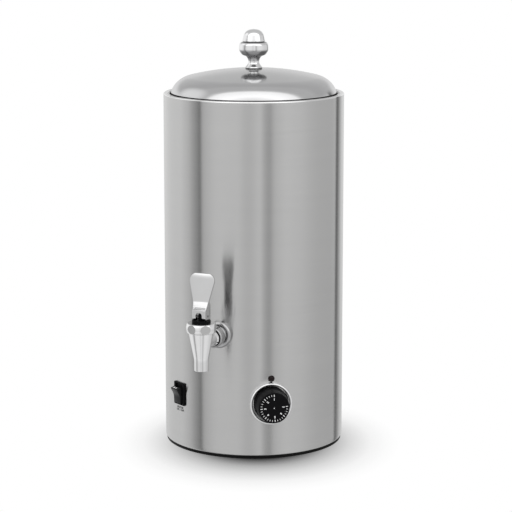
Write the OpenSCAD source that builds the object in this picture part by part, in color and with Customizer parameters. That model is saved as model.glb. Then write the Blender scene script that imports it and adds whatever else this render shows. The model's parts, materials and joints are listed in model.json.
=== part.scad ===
// Heated, insulated drink dispenser with a lever tap, a thermostat dial and a rocker switch.
// Millimetres, +Z up, front towards -Y, origin on the casing's axis at floor level.

/* [Body] */
// Outer radius of the casing
body_r = 125; // [122:0.5:130]
// Height of the casing's top edge above the floor
rim_z = 490; // [480:0.5:520]
// Sheet thickness of the casing, the tank and the lid
sheet_t = 1; // [0.8:0.1:1.2]
// Radius of the rolled top edge
rim_roll_r = 2; // [1.5:0.5:5.5]
// Height of the black base ring
base_h = 4; // [3.5:0.5:6]
// How far the base ring stands in from the casing
base_inset = 1.5; // [1:0.5:2]

/* [Tank] */
// Inner radius of the tank
tank_r = 108; // [106:0.5:109]
// Height of the tank's floor, on the inside
tank_floor_z = 151; // [148:0.5:154]
// Depth of the lid's seat below the casing's top edge
seat_depth = 12; // [10:0.5:18]
// Inner radius of the collar round the lid
collar_r = 117.3; // [117:0.1:117.6]

/* [Lid] */
// Height of the dome's top above the casing's top edge
dome_rise = 33; // [26:0.5:36]
// Radius of the dome's crown
crown_r = 390; // [360:5:420]
// Radius of the dome's shoulder
shoulder_r = 33; // [30:1:40]
// Outer radius of the lid
lid_r = 116.4; // [116:0.1:116.6]
// How far the lid's insulated plug reaches into the tank
plug_depth = 14; // [10:1:20]

/* [Lid knob] */
// Height of the knob
knob_h = 54; // [48:1:60]
// Largest radius of the knob
knob_r = 20.3; // [18:0.1:22]

/* [Controls] */
// Angle of the dial from the front, to the right
dial_a = 31.9; // [30:0.1:36]
// Angle of the indicator lamp from the front, to the right
lamp_a = 32.7; // [30:0.1:36]
// Angle of the switch from the front, to the left
switch_a = 33.2; // [30:0.1:36]
// Height of the dial's and the switch's centres
control_z = 79; // [76:0.5:84]
// Outer radius of the dial's bezel ring
bezel_r = 28; // [27.5:0.1:29]
// How far the bezel ring stands out of the casing
bezel_out = 9; // [8:0.5:10]
// Radius of the dial at its base
dial_base_r = 24.9; // [24:0.1:25]
// Radius of the dial's face
dial_face_r = 21.75; // [20:0.05:23]
// How far the dial's face stands out of the casing
dial_out = 30.5; // [25:0.5:32]
// Height of the indicator lamp's centre
lamp_z = 112.5; // [112:0.5:114]
// Radius of the indicator lamp's lens
lamp_r = 4; // [3.5:0.1:4.5]
// Width of the switch's bezel
switch_w = 24.6; // [24:0.1:28]
// Height of the switch's bezel
switch_h = 32; // [31:0.5:34]
// Angle through which the rocker tips
rocker_tip = 32; // [26:1:34]

/* [Tap] */
// Height of the tap's shank
tap_z = 173.5; // [172:0.5:176]
// Distance of the spout's axis from the casing
tap_reach = 63.3; // [62:0.1:65]
// Radius of the escutcheon against the casing
escutcheon_r = 18.5; // [17:0.5:20]
// Radius of the union nut
union_r = 14; // [13.5:0.1:15]
// Height of the spout's tip
spout_z = 137; // [134:0.5:138]
// Outer radius of the spout's tip
spout_r = 9.7; // [8.5:0.1:10.5]
// Radius of the spout's outlet
outlet_r = 6.5; // [6:0.1:6.8]
// Outer radius of the tap's body under the bonnet
tap_body_r = 17; // [15.5:0.1:18]
// Radius of the bonnet
bonnet_r = 20.3; // [19.5:0.1:21.5]

/* [Lever] */
// Width of the lever's yoke
yoke_w = 19.2; // [16.5:0.1:20]
// Half depth of the lever's yoke
yoke_d = 8.8; // [8.4:0.1:9.2]
// Greatest width of the paddle
paddle_w = 35; // [30:0.5:37]
// Thickness of the paddle
paddle_t = 3; // [2.5:0.1:3.5]
// Height of the paddle's top
paddle_top_z = 268.5; // [260:0.5:276]
// How far the paddle's top leans back
paddle_lean = 7; // [3:0.5:8]

/* [Hidden] */
$fn = 96;

// Small gaps: beside a fixed neighbour, round a turning shaft, beside a moving piece
snug = 0.05;
running = 0.05;
clear = 0.3;
// A cut runs this far past the faces that it goes through
past = 1;

// Casing and tank
casing_in_r = body_r - sheet_t;
flange_in_r = body_r - 13;
seam_gap = 0.1;
bend_r = 2;
seat_z = rim_z - seat_depth;
collar_out_r = collar_r + sheet_t;
collar_top_z = rim_z - 0.3;
tank_out_r = tank_r + sheet_t;
tank_bottom_z = tank_floor_z - sheet_t;
tank_bend_r = 5;
jacket_z0 = tank_bottom_z + 4;
jacket_z1 = seat_z - sheet_t - clear;

// Base
ring_out_r = body_r - base_inset;
ring_in_r = body_r - 17;
cover_r = body_r - 3;
cover_z = base_h - 1;
base_screw_ring_r = body_r - 9;
base_screw_count = 4;
base_screw_r = 2;
base_screw_head_r = 4.2;
base_screw_head_h = 1.8;
base_screw_top_z = base_h + 5;
vent_count = 5;
vent_l = 70;
vent_w = 4;
vent_pitch = 12;
vent_y = -50;

// Heater, under the tank
spreader_r = 90;
spreader_h = 6;
spreader_z = tank_bottom_z - spreader_h;
element_ring_r = 62;
element_r = 4.2;
element_sleeve_r = 4.8;
element_gap_a = 24;
element_z = spreader_z - element_r - 0.1;
element_leg_l = 20;
element_pin_r = 2;
element_pin_l = 9;
stud_r = 4;
stud_z = spreader_z - 50;
clamp_l = 140;
clamp_w = 16;
clamp_h = 3;
clamp_z = element_z - element_r - clamp_h - 0.1;
nut_h = 6;
nut_flats = 13;
shield_r = 92;
shield_z = stud_z + 10;
shield_hole_y = 56;
shield_hole_r = 26;
cutout_x = -30;
cutout_y = 28;
cutout_r = 12;
cutout_h = 12;
cutout_neck_r = 8;
cutout_neck_h = 4;
cutout_tab = [6.3, 0.8, 8];

// Thermostat, behind the dial. Distances along the wall's normal are from the casing's axis
bracket_n = body_r - 13;
bracket_t = 1.5;
bracket_w = 60;
bracket_h = 52;
stat_w = 40;
stat_h = 38;
stat_d = 28;
stat_neck_r = 5;
stat_neck_l = 6;
stat_tab = [6.3, 0.8, 8];
stat_screw_x = 14;
stat_screw_r = 2;
stat_screw_head_r = 3.5;
stat_screw_head_h = 2.4;
shaft_r = 3;
shaft_n0 = bracket_n - 17;
shaft_n1 = body_r + dial_out - 5;
dial_n0 = body_r + 4;
dial_n1 = body_r + dial_out;
dial_edge_r = 1.5;
dial_wall = 2.4;
dial_hub_r = 6.5;
dial_face_t = 3;
bezel_wall = 2.5;
bezel_edge_r = 1.2;
bulb_r = 3;
bulb_l = 40;
bulb_n = tank_out_r - 11;
bulb_z = tank_bottom_z - bulb_r - 0.1;
capillary_r = 0.8;

// Indicator lamp
lamp_flange_r = lamp_r + 0.7;
lamp_flange_h = 1;
lamp_dome_h = 2;
holder_r = 3.2;
holder_l = 22;

// Switch. The rocker's outline is in its own middle position, then tipped by half its travel
switch_n1 = body_r + 2.2;
switch_n0 = body_r - 25;
switch_body_w = 21.6;
switch_body_h = 29.6;
pocket_w = 17.2;
pocket_h = 28.4;
pocket_n = body_r - 13;
rocker_w = 16.4;
rocker_pivot_n = body_r - 1;
rocker_half_l = 11;
rocker_end_h = 9.2;
rocker_mid_h = 6.8;
rocker_foot_h = 3;
rocker_foot_l = 7;
trunnion_r = 1.5;
trunnion_l = 20;
switch_tab = [6.3, 0.8, 8];
switch_tab_x = 5.5;
switch_tab_y = 8;

// Terminal block, gland and wiring, in the bay under the tank
block_size = [60, 20, 15];
block_y = 46;
terminal_count = 5;
terminal_pitch = 11;
terminal_r = 2.2;
terminal_h = 1;
gland_z = 40;
gland_bore_r = 4;
gland_thread_r = 8;
gland_flange_r = 12;
gland_flange_h = 6;
gland_cap_r = 10.5;
gland_cap_tip_r = 8.5;
gland_cap_h = 9;
gland_in_l = 15;
gland_nut_flats = 22;
gland_nut_h = 5;
wire_r = 1.4;
wire_lead = 2;

// Tap. Distances along the shank are from the casing's axis
tap_y = body_r + tap_reach;
shank_r = 9;
shank_bore_r = 6;
shank_n0 = tank_r - 18;
shoulder_n = body_r + 3;
shank_front_r = 10.5;
shank_n1 = body_r + 20;
shank_nut_flats = 30;
shank_nut_h = 8;
washer_t = 4;
inner_washer_r = 16;
outer_washer_r = 15;
outer_washer_n = tank_out_r + 3;
spacer_r = 13;
escutcheon_n = body_r + 8;
escutcheon_edge_r = 3;
union_n0 = body_r + 13;
union_n1 = body_r + 27;
union_edge_r = 1.5;
union_seal_t = 1.4;
tail_n0 = shank_n1 + union_seal_t;
tail_n1 = tail_n0 + 2.1;
tail_r = shank_front_r - 0.1;
neck_r = 7.5;
neck_bore_r = 5.5;
lip_n = tail_n1 + 0.1;
gasket_n = union_n1 - 1.5;
gasket_t = 2.7;
gasket_r = union_r - 2.1;
boss_r = 9.6;
boss_n = gasket_n + gasket_t + snug;
tail_grip = 14;
tail_end_n = boss_n + tail_grip;
spout_straight = 14.5;
seat_face_z = spout_z + 29;
bonnet_z = spout_z + 52;
bonnet_h = 13;
bonnet_flat_n = bonnet_r * cos(20);
bonnet_turn = -20;
bonnet_bulge = 1.5;
spigot_r = 14.5;
spigot_h = 6;
chamber_r0 = 9;
chamber_r1 = 12.6;
chamber_top_z = bonnet_z - 2;
guide_z = bonnet_z + bonnet_h;
guide_r = 12.6;
guide_h = 4;
guide_neck_r = 9.4;
guide_neck_l = 9;
stem_r = 4;
stem_low_r = 3;
cup_r = 8.2;
cup_z = seat_face_z + snug;
cup_h = 4;
cup_boss_r = 5;
cup_boss_h = 7;
spring_r = 6.3;
spring_wire_r = 0.6;
spring_turns = 5;
spring_z0 = cup_z + cup_h + spring_wire_r + snug;
spring_z1 = guide_z - guide_neck_l - spring_wire_r - snug;

// Lever. Its outline is seen from the side: forward of the pin, and above it
pin_r = 1.5;
foot_z = guide_z + guide_h + 0.2;
foot_r = 5.3;
pin_z = foot_z + foot_r;
heel_d = yoke_d - foot_r;
cheek_t = 2.6;
yoke_top = 8.6;
paddle_foot = 16.1;
paddle_foot_w = yoke_w + 1.4;
paddle_foot_d = 2.5;
paddle_top = paddle_top_z - pin_z;
paddle_corner_r = 10.5;
paddle_tip_l = 11;
paddle_wide_l = paddle_top - paddle_foot - paddle_tip_l;
paddle_corner_l = paddle_top - paddle_foot - paddle_corner_r;
cheek_back_h = 14.5;
cheek_reach_h = 25;
slot_w = 9;
slot_top = 1.3;

// Lid
dome_top_z = rim_z + dome_rise;
crown_z = dome_top_z - crown_r;
shoulder_x = lid_r - shoulder_r;
shoulder_z = crown_z + sqrt(pow(crown_r - shoulder_r, 2) - pow(shoulder_x, 2));
shoulder_a = atan2(shoulder_z - crown_z, shoulder_x);
lid_seal_t = 1;
liner_flange_z = seat_z + lid_seal_t;
liner_r = tank_r - 2.5;
liner_floor_z = seat_z - plug_depth;
liner_flange_r = lid_r - sheet_t - snug;
lid_skirt_z = seat_z + clear;
fill_side_h = 11.5;
fill_gap = 2;
knob_hole_r = 3;
knob_hole_l = 18;
screw_r = 2.9;
screw_head_r = 5;
screw_head_h = 4;
lid_washer_r = 9;
lid_washer_t = 1.5;
lid_washer_z = dome_top_z - sheet_t - lid_washer_t - 0.2;

// Points on a circle's arc, from angle a0 to a1
function arc(x, y, r, a0, a1, steps) =
    [for (i = [0:steps]) let (a = a0 + (a1 - a0) * i / steps) [x + r * cos(a), y + r * sin(a)]];

// Smooth curve through the points of a list, with the given steps from each point to the next
function curve_point(a, b, c, d, t) =
    0.5 * (2 * b + (c - a) * t + (2 * a - 5 * b + 4 * c - d) * t * t
        + (3 * b - a - 3 * c + d) * t * t * t);
function curve(p, steps) = let (last = len(p) - 1) [
    for (i = [0:last - 1])
        for (k = [0:steps - 1])
            curve_point(p[max(i - 1, 0)], p[i], p[i + 1], p[min(i + 2, last)], k / steps),
    p[last]
];

// Tube of a given radius and number of sides swept along a path, with flat ends
function unit(v) = v / norm(v);
function square_to(v, t) = unit(v - (v * t) * t);
function headings(p) = let (last = len(p) - 1)
    [for (i = [0:last]) unit(p[min(i + 1, last)] - p[max(i - 1, 0)])];
function sideways(t) = let (last = len(t) - 1, start = abs(t[0].z) < 0.9 ? [0, 0, 1] : [1, 0, 0]) [
    for (i = 0, u = square_to(start, t[0]); i <= last; i = i + 1, u = square_to(u, t[min(i, last)])) u
];
module tube(path, r, sides) {
    t = headings(path);
    u = sideways(t);
    last = len(path) - 1;
    ring = [
        for (i = [0:last])
            for (k = [0:sides - 1])
                let (a = 360 * k / sides) path[i] + r * (cos(a) * u[i] + sin(a) * cross(t[i], u[i]))
    ];
    walls = [
        for (i = [0:last - 1])
            for (k = [0:sides - 1])
                let (a = i * sides + k, b = i * sides + (k + 1) % sides)
                    for (f = [[a, a + sides, b], [b, a + sides, b + sides]]) f
    ];
    ends = [
        for (k = [1:sides - 2])
            for (f = [[0, k, k + 1], [last * sides, last * sides + k + 1, last * sides + k]]) f
    ];
    polyhedron(ring, concat(walls, ends));
}

// Puts a shape on the wall: local X along it, local Y up, local Z outwards from the casing's axis
module on_wall(angle, z) rotate([0, 0, angle]) translate([0, 0, z]) rotate([90, 0, 0]) children();
module span(r, z0, z1) translate([0, 0, z0]) cylinder(r = r, h = z1 - z0);
module pipe(r_out, r_in, z0, z1) difference() {
    span(r_out, z0, z1);
    span(r_in, z0 - past, z1 + past);
}
module hex(flats, z0, z1) translate([0, 0, z0]) cylinder(d = flats / cos(30), h = z1 - z0, $fn = 6);
module block(size, z0) translate([-size.x / 2, -size.y / 2, z0]) cube(size);
module inside_of(r) intersection() {
    children();
    cylinder(r = r, h = rim_z, $fn = 360);
}
module outside_of(r) difference() {
    children();
    translate([0, 0, -past]) cylinder(r = r, h = rim_z, $fn = 360);
}

// Base
module around_base() for (i = [0:base_screw_count - 1])
    rotate([0, 0, 45 + 360 * i / base_screw_count]) translate([base_screw_ring_r, 0, 0]) children();

module base_ring() color("#1b1b1c") difference() {
    pipe(ring_out_r, ring_in_r, 0, base_h);
    span(cover_r + snug, cover_z, base_h + past);
    around_base() span(base_screw_r + 0.2, -past, base_h);
    around_base() span(base_screw_head_r + 0.3, -past, base_screw_head_h + 0.4);
}

module bottom_cover() color("#a9abad") difference() {
    span(cover_r, cover_z, base_h);
    around_base() span(base_screw_r + 0.2, 0, base_h + past);
    for (i = [0:vent_count - 1])
        translate([0, vent_y + i * vent_pitch, 0]) block([vent_l, vent_w, base_h + past], 0);
}

module base_screws() color("#8f9193") around_base() {
    span(base_screw_r, base_screw_head_h, base_screw_top_z);
    span(base_screw_head_r, 0.4, base_screw_head_h + 0.4);
}

// Casing: two half shells of one section, turned in under the base and rolled over at the top; they meet at
// the sides in a butt seam
module casing_half(turn) color("#b4b6b8") difference() {
    casing_sheet();
    rotate([0, 0, turn]) translate([0, body_r - seam_gap / 2, 0]) block([2 * body_r + 2, 2 * body_r, rim_z + 1], 0);
}

module casing_front() casing_half(0);

module casing_rear() casing_half(180);

module casing_sheet() difference() {
    rotate_extrude() polygon(concat(
        [[flange_in_r, base_h]],
        arc(body_r - bend_r, base_h + bend_r, bend_r, -90, 0, 4),
        arc(body_r - rim_roll_r, rim_z - rim_roll_r, rim_roll_r, 0, 90, 8),
        [[collar_out_r + snug, rim_z], [collar_out_r + snug, rim_z - sheet_t]],
        arc(body_r - rim_roll_r, rim_z - rim_roll_r, rim_roll_r - sheet_t, 90, 0, 8),
        arc(body_r - bend_r, base_h + bend_r, bend_r - sheet_t, 0, -90, 4),
        [[flange_in_r, base_h + sheet_t]]
    ));
    around_base() span(base_screw_r + snug, 0, base_screw_top_z);
    on_wall(0, tap_z) span(shank_r + 0.3, body_r - 10, body_r + past);
    on_wall(dial_a, control_z) span(stat_neck_r + 1, body_r - 10, body_r + past);
    on_wall(lamp_a, lamp_z) span(holder_r + snug, body_r - 10, body_r + past);
    on_wall(-switch_a, control_z) block([switch_body_w + 0.2, switch_body_h + 0.2, 20], body_r - 10);
    on_wall(180, gland_z) span(gland_thread_r + snug, body_r - 10, body_r + past);
}

// Tank: one sheet, with a step near the top for the lid to sit on
module inner_tank() color("#c4c6c8") difference() {
    rotate_extrude() polygon(concat(
        [[0, tank_floor_z]],
        arc(tank_r - tank_bend_r, tank_floor_z + tank_bend_r, tank_bend_r, -90, 0, 4),
        [[tank_r, seat_z], [collar_r, seat_z], [collar_r, collar_top_z], [collar_out_r, collar_top_z]],
        [[collar_out_r, seat_z - sheet_t], [tank_out_r, seat_z - sheet_t]],
        arc(tank_r - tank_bend_r, tank_floor_z + tank_bend_r, tank_bend_r + sheet_t, 0, -90, 4),
        [[0, tank_bottom_z]]
    ));
    on_wall(0, tap_z) span(shank_r + 0.3, tank_r - 10, tank_out_r + past);
}

module insulation_jacket() color("#e8dfbf") difference() {
    pipe(casing_in_r - clear, tank_out_r + clear, jacket_z0, jacket_z1);
    on_wall(0, tap_z) span(outer_washer_r + clear, tank_r, body_r);
}

// Heater
module heat_spreader() color("#b9bcbe") pipe(spreader_r, stud_r + 0.2, spreader_z, tank_bottom_z);

module heating_element() color("#6f7172") {
    ring_a = 360 - element_gap_a;
    translate([0, 0, element_z]) rotate([0, 0, 90 + element_gap_a / 2]) rotate_extrude(angle = ring_a)
        translate([element_ring_r, 0]) circle(r = element_r);
    for (side = [-1, 1]) rotate([0, 0, 90 + side * element_gap_a / 2])
        translate([element_ring_r, 0, element_z]) {
            span(element_sleeve_r, -element_leg_l, element_r);
            span(element_pin_r, -element_leg_l - element_pin_l, 0);
        }
}

module element_clamp() color("#9b9d9f") difference() {
    block([clamp_l, clamp_w, clamp_h], clamp_z);
    span(stud_r + 0.2, clamp_z - past, clamp_z + clamp_h + past);
}

module heater_stud() color("#a5a7a9") span(stud_r, stud_z, tank_bottom_z);

module heater_nuts() color("#8f9193") for (z = [clamp_z - nut_h, shield_z + sheet_t, shield_z - nut_h])
    difference() {
        hex(nut_flats, z, z + nut_h);
        span(stud_r + snug, z - past, z + nut_h + past);
    }

module heat_shield() color("#b4b6b8") difference() {
    span(shield_r, shield_z, shield_z + sheet_t);
    span(stud_r + 0.2, shield_z - past, shield_z + sheet_t + past);
    translate([0, shield_hole_y, 0]) span(shield_hole_r, shield_z - past, shield_z + sheet_t + past);
}

module thermal_cutout() color("#d8d4c8") translate([cutout_x, cutout_y, 0]) {
    span(cutout_r, spreader_z - cutout_neck_h, spreader_z);
    span(cutout_neck_r, spreader_z - cutout_neck_h - cutout_h, spreader_z - cutout_neck_h);
    for (side = [-1, 1]) translate([side * cutout_neck_r / 2, 0, 0])
        block(cutout_tab, spreader_z - cutout_neck_h - cutout_h - cutout_tab.z);
}

// Thermostat
module stat_screw_places() for (side = [-1, 1]) translate([side * stat_screw_x, 0, 0]) children();

module thermostat_bracket() color("#a9abad") inside_of(casing_in_r - snug)
    on_wall(dial_a, control_z) difference() {
        union() {
            block([bracket_w, bracket_h, bracket_t], bracket_n);
            for (side = [-1, 1]) translate([side * (bracket_w - bracket_t) / 2, 0, 0])
                block([bracket_t, bracket_h, body_r - bracket_n], bracket_n);
        }
        span(stat_neck_r + 0.2, bracket_n - past, body_r);
        stat_screw_places() span(stat_screw_r + 0.2, bracket_n - past, body_r);
    }

module thermostat_body() color("#d9d7d2") on_wall(dial_a, control_z) difference() {
    union() {
        block([stat_w, stat_h, stat_d], bracket_n - stat_d);
        span(stat_neck_r, bracket_n - past, bracket_n + stat_neck_l);
        for (side = [-1, 1]) translate([side * stat_w / 4, 0, 0])
            block(stat_tab, bracket_n - stat_d - stat_tab.z);
    }
    span(shaft_r + running, shaft_n0 - snug, bracket_n + stat_neck_l + past);
    stat_screw_places() span(stat_screw_r + snug, bracket_n - 8, bracket_n + past);
}

module thermostat_screws() color("#8f9193") on_wall(dial_a, control_z) stat_screw_places() {
    span(stat_screw_r, bracket_n - 7, bracket_n + bracket_t);
    span(stat_screw_head_r, bracket_n + bracket_t, bracket_n + bracket_t + stat_screw_head_h);
}

module thermostat_shaft() color("#9b9d9f") on_wall(dial_a, control_z) span(shaft_r, shaft_n0, shaft_n1);

// Dial: a hollow knob with a hub, tapering to its face
module thermostat_knob() color("#161617") on_wall(dial_a, control_z) difference() {
    rotate_extrude() polygon(concat(
        [[0, dial_n0 + 2], [dial_hub_r, dial_n0 + 2], [dial_hub_r, dial_n1 - dial_face_t]],
        [[dial_face_r - dial_wall, dial_n1 - dial_face_t], [dial_base_r - dial_wall, dial_n0]],
        [[dial_base_r, dial_n0]],
        arc(dial_face_r - dial_edge_r, dial_n1 - dial_edge_r, dial_edge_r, 8, 90, 6),
        [[0, dial_n1]]
    ));
    span(shaft_r + snug, dial_n0, shaft_n1 + snug);
}

module dial_bezel() color("#dfe1e3") outside_of(body_r + snug) on_wall(dial_a, control_z)
    rotate_extrude() polygon(concat(
        [[bezel_r - bezel_wall, body_r - 6], [bezel_r, body_r - 6]],
        arc(bezel_r - bezel_edge_r, body_r + bezel_out - bezel_edge_r, bezel_edge_r, 0, 90, 5),
        arc(bezel_r - bezel_wall + bezel_edge_r, body_r + bezel_out - bezel_edge_r, bezel_edge_r, 90, 180, 5)
    ));

module capillary_tube() color("#b87333") {
    up = bracket_n - stat_d / 2;
    lift = control_z + stat_h / 2;
    rotate([0, 0, dial_a]) tube(curve([
        [8, -up, lift], [8, -up, lift + 6], [9, -up, lift + 16], [18, -up, lift + 28],
        [30, -bulb_n, lift + 38], [32, -bulb_n, bulb_z - 6], [bulb_l / 2 + 6, -bulb_n, bulb_z],
        [bulb_l / 2, -bulb_n, bulb_z]
    ], 3), capillary_r, 8);
}

module sensor_bulb() color("#b87333") rotate([0, 0, dial_a]) translate([0, -bulb_n, bulb_z])
    rotate([0, 90, 0]) span(bulb_r, -bulb_l / 2, bulb_l / 2);

// Indicator lamp
module indicator_lens() color("#1a1415") on_wall(lamp_a, lamp_z) {
    base_n = body_r + snug;
    dome_r = (pow(lamp_r, 2) + pow(lamp_dome_h, 2)) / (2 * lamp_dome_h);
    span(lamp_flange_r, base_n, base_n + lamp_flange_h);
    intersection() {
        translate([0, 0, base_n + lamp_flange_h + lamp_dome_h - dome_r]) sphere(r = dome_r);
        span(lamp_r, base_n, base_n + lamp_flange_h + lamp_dome_h);
    }
}

module indicator_holder() color("#303032") on_wall(lamp_a, lamp_z)
    span(holder_r, body_r - holder_l, body_r);

// Switch: a tub with a bezel that follows the casing, and a rocker on two trunnions
module switch_housing() color("#141415") difference() {
    union() {
        outside_of(body_r + snug) on_wall(-switch_a, control_z)
            block([switch_w, switch_h, switch_n1 - body_r + 4], body_r - 4);
        on_wall(-switch_a, control_z)
            block([switch_body_w, switch_body_h, body_r + past - switch_n0], switch_n0);
    }
    on_wall(-switch_a, control_z) {
        block([pocket_w, pocket_h, switch_n1], pocket_n);
        translate([0, 0, rocker_pivot_n]) rotate([0, 90, 0])
            span(trunnion_r + running, -trunnion_l / 2 - snug, trunnion_l / 2 + snug);
    }
}

module switch_rocker() color("#1c1c1e") on_wall(-switch_a, control_z)
    translate([0, 0, rocker_pivot_n]) rotate([rocker_tip / 2, 0, 0]) rotate([90, 0, 90]) {
        translate([0, 0, -rocker_w / 2]) linear_extrude(rocker_w) polygon([
            [rocker_half_l, rocker_end_h], [0, rocker_mid_h], [-rocker_half_l, rocker_end_h],
            [-rocker_half_l, rocker_foot_h], [-rocker_foot_l, -rocker_foot_h],
            [rocker_foot_l, -rocker_foot_h], [rocker_half_l, rocker_foot_h]
        ]);
        span(trunnion_r, -trunnion_l / 2, trunnion_l / 2);
    }

module switch_terminals() color("#c9b26a") on_wall(-switch_a, control_z)
    for (x = [-switch_tab_x, switch_tab_x])
        for (y = [-switch_tab_y, switch_tab_y])
            translate([x, y, 0]) block(switch_tab, switch_n0 - switch_tab.z);

// Electrics bay
module terminal_places() for (i = [0:terminal_count - 1])
    translate([(i - (terminal_count - 1) / 2) * terminal_pitch, block_y, 0]) children();

module terminal_block() color("#e4e2dc") translate([0, block_y, 0]) block(block_size, base_h);

module terminal_screws() color("#c9a84a") terminal_places()
    span(terminal_r, base_h + block_size.z, base_h + block_size.z + terminal_h);

module cord_gland() color("#232324") on_wall(180, gland_z) difference() {
    union() {
        span(gland_thread_r, body_r - gland_in_l, body_r + past);
        span(gland_flange_r, body_r + snug, body_r + gland_flange_h);
        translate([0, 0, body_r + gland_flange_h])
            cylinder(r1 = gland_cap_r, r2 = gland_cap_tip_r, h = gland_cap_h);
    }
    span(gland_bore_r, body_r - gland_in_l - past, body_r + gland_flange_h + gland_cap_h + past);
}

module gland_nut() color("#2b2b2d") on_wall(180, gland_z) difference() {
    hex(gland_nut_flats, body_r - 3 - gland_nut_h, body_r - 3);
    span(gland_thread_r + snug, body_r - 10, body_r);
}

// Place on the wall: along it by x, at height z, at distance n from the casing's axis
function wall_point(angle, x, z, n) =
    [n * sin(angle) + x * cos(angle), x * sin(angle) - n * cos(angle), z];
function clamped(pole) = [pole * terminal_pitch, block_y - block_size.y / 2, base_h + block_size.z / 2];
function switched(z, back) =
    wall_point(-switch_a, switch_tab_x, control_z + z, switch_n0 - switch_tab.z - back);
function governed(x, back) =
    wall_point(dial_a, x, control_z, bracket_n - stat_d - stat_tab.z - back);
function guarded(side, down) = [
    cutout_x + side * cutout_neck_r / 2, cutout_y,
    spreader_z - cutout_neck_h - cutout_h - cutout_tab.z - down
];
function heated(side, down) = [
    side * element_ring_r * sin(element_gap_a / 2), element_ring_r * cos(element_gap_a / 2),
    element_z - element_leg_l - element_pin_l - down
];
wires = [
    [clamped(-2), clamped(-2) - [0, 12, 0], [-30, -20, 16], [-36, -50, 42],
        switched(-switch_tab_y, 12), switched(-switch_tab_y, 0)],
    [switched(switch_tab_y, 0), switched(switch_tab_y, 12), [0, -46, 90],
        governed(-stat_w / 4, 12), governed(-stat_w / 4, 0)],
    [governed(stat_w / 4, 0), governed(stat_w / 4, 12), [32, 10, 84], [8, 48, 94], [-4, 52, 104],
        [-18, 40, 110], guarded(1, 7), guarded(1, 0)],
    [guarded(-1, 0), guarded(-1, 6), [-26, 44, 108], [-18, 56, 101], heated(-1, 6), heated(-1, 0)],
    [heated(1, 0), heated(1, 12), [22, 70, 70], [30, 76, 36], [24, 70, 14],
        clamped(2) + [0, block_size.y + 6, 0], clamped(2) + [0, block_size.y, 0]],
    [wall_point(lamp_a, -1, lamp_z, body_r - holder_l), wall_point(lamp_a, -1, lamp_z, 99),
        wall_point(lamp_a, -16, 106, 97), wall_point(lamp_a, -27, 92, 96),
        wall_point(lamp_a, -27, 60, 92), [24, -50, 24], [8, 0, 13], clamped(0) - [0, 12, 0], clamped(0)]
];
// Each wire leaves its terminal square to it, and is straight for the first millimetres
function squared(p) = let (last = len(p) - 1, a = unit(p[1] - p[0]), b = unit(p[last - 1] - p[last])) concat(
    [p[0] + snug * a, p[0] + wire_lead * a],
    [for (i = [1:last - 1]) p[i]],
    [p[last] + wire_lead * b, p[last] + snug * b]
);
module wiring_loom() color("#7a4a2a") for (route = wires) tube(curve(squared(route), 3), wire_r, 8);

// Tap: shank through the wall, then the union to the tap's body
module tap_shank() color("#cfd1d3") on_wall(0, tap_z) difference() {
    union() {
        span(shank_r, shank_n0, shoulder_n);
        span(shank_front_r, shoulder_n, shank_n1);
    }
    span(shank_bore_r, shank_n0 - past, shank_n1 + past);
}

module shank_nut() color("#bfc1c3") on_wall(0, tap_z) difference() {
    hex(shank_nut_flats, tank_r - washer_t - shank_nut_h, tank_r - washer_t);
    span(shank_r + snug, shank_n0, tank_r);
}

module inner_washer() color("#e9e9e6") inside_of(tank_r - snug) on_wall(0, tap_z)
    pipe(inner_washer_r, shank_r + snug, tank_r - washer_t, tank_r + past);

module outer_washer() color("#e9e9e6") outside_of(tank_out_r + snug) on_wall(0, tap_z)
    pipe(outer_washer_r, shank_r + snug, tank_r - 3, outer_washer_n);

module shank_spacer() color("#b4b6b8") inside_of(casing_in_r - snug) on_wall(0, tap_z)
    pipe(spacer_r, shank_r + snug, outer_washer_n, body_r);

module tap_escutcheon() color("#dfe1e3") outside_of(body_r + snug) on_wall(0, tap_z) difference() {
    rotate_extrude() polygon(concat(
        [[0, body_r - 3], [escutcheon_r, body_r - 3]],
        arc(escutcheon_r - escutcheon_edge_r, escutcheon_n - escutcheon_edge_r, escutcheon_edge_r, 0, 90, 6),
        [[0, escutcheon_n]]
    ));
    span(shank_r + snug, body_r - 10, escutcheon_n);
    span(shank_front_r + snug, shoulder_n, escutcheon_n + past);
}

module union_nut() color("#dfe1e3") on_wall(0, tap_z) difference() {
    rotate_extrude() polygon(concat(
        [[0, union_n0]],
        arc(union_r - union_edge_r, union_n0 + union_edge_r, union_edge_r, -90, 0, 5),
        arc(union_r - union_edge_r, union_n1 - union_edge_r, union_edge_r, 0, 90, 5),
        [[0, union_n1]]
    ));
    span(shank_front_r + snug, union_n0 - past, lip_n);
    span(neck_r + 0.7, lip_n - past, union_n1);
    span(gasket_r + snug, gasket_n, union_n1 + past);
}

module union_seal() color("#e9e9e6") on_wall(0, tap_z)
    pipe(tail_r, shank_bore_r, shank_n1, shank_n1 + union_seal_t);

// Tail: its flange is held by the union nut, and its far end screws into the tap's body
module tap_tail() color("#cfd1d3") on_wall(0, tap_z) difference() {
    union() {
        span(tail_r, tail_n0, tail_n1);
        span(neck_r, tail_n0, tail_end_n);
    }
    span(neck_bore_r, tail_n0 - past, tail_end_n + past);
}

module tap_gasket() color("#161617") on_wall(0, tap_z)
    pipe(gasket_r, neck_r + snug, gasket_n + snug, gasket_n + gasket_t);

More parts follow.
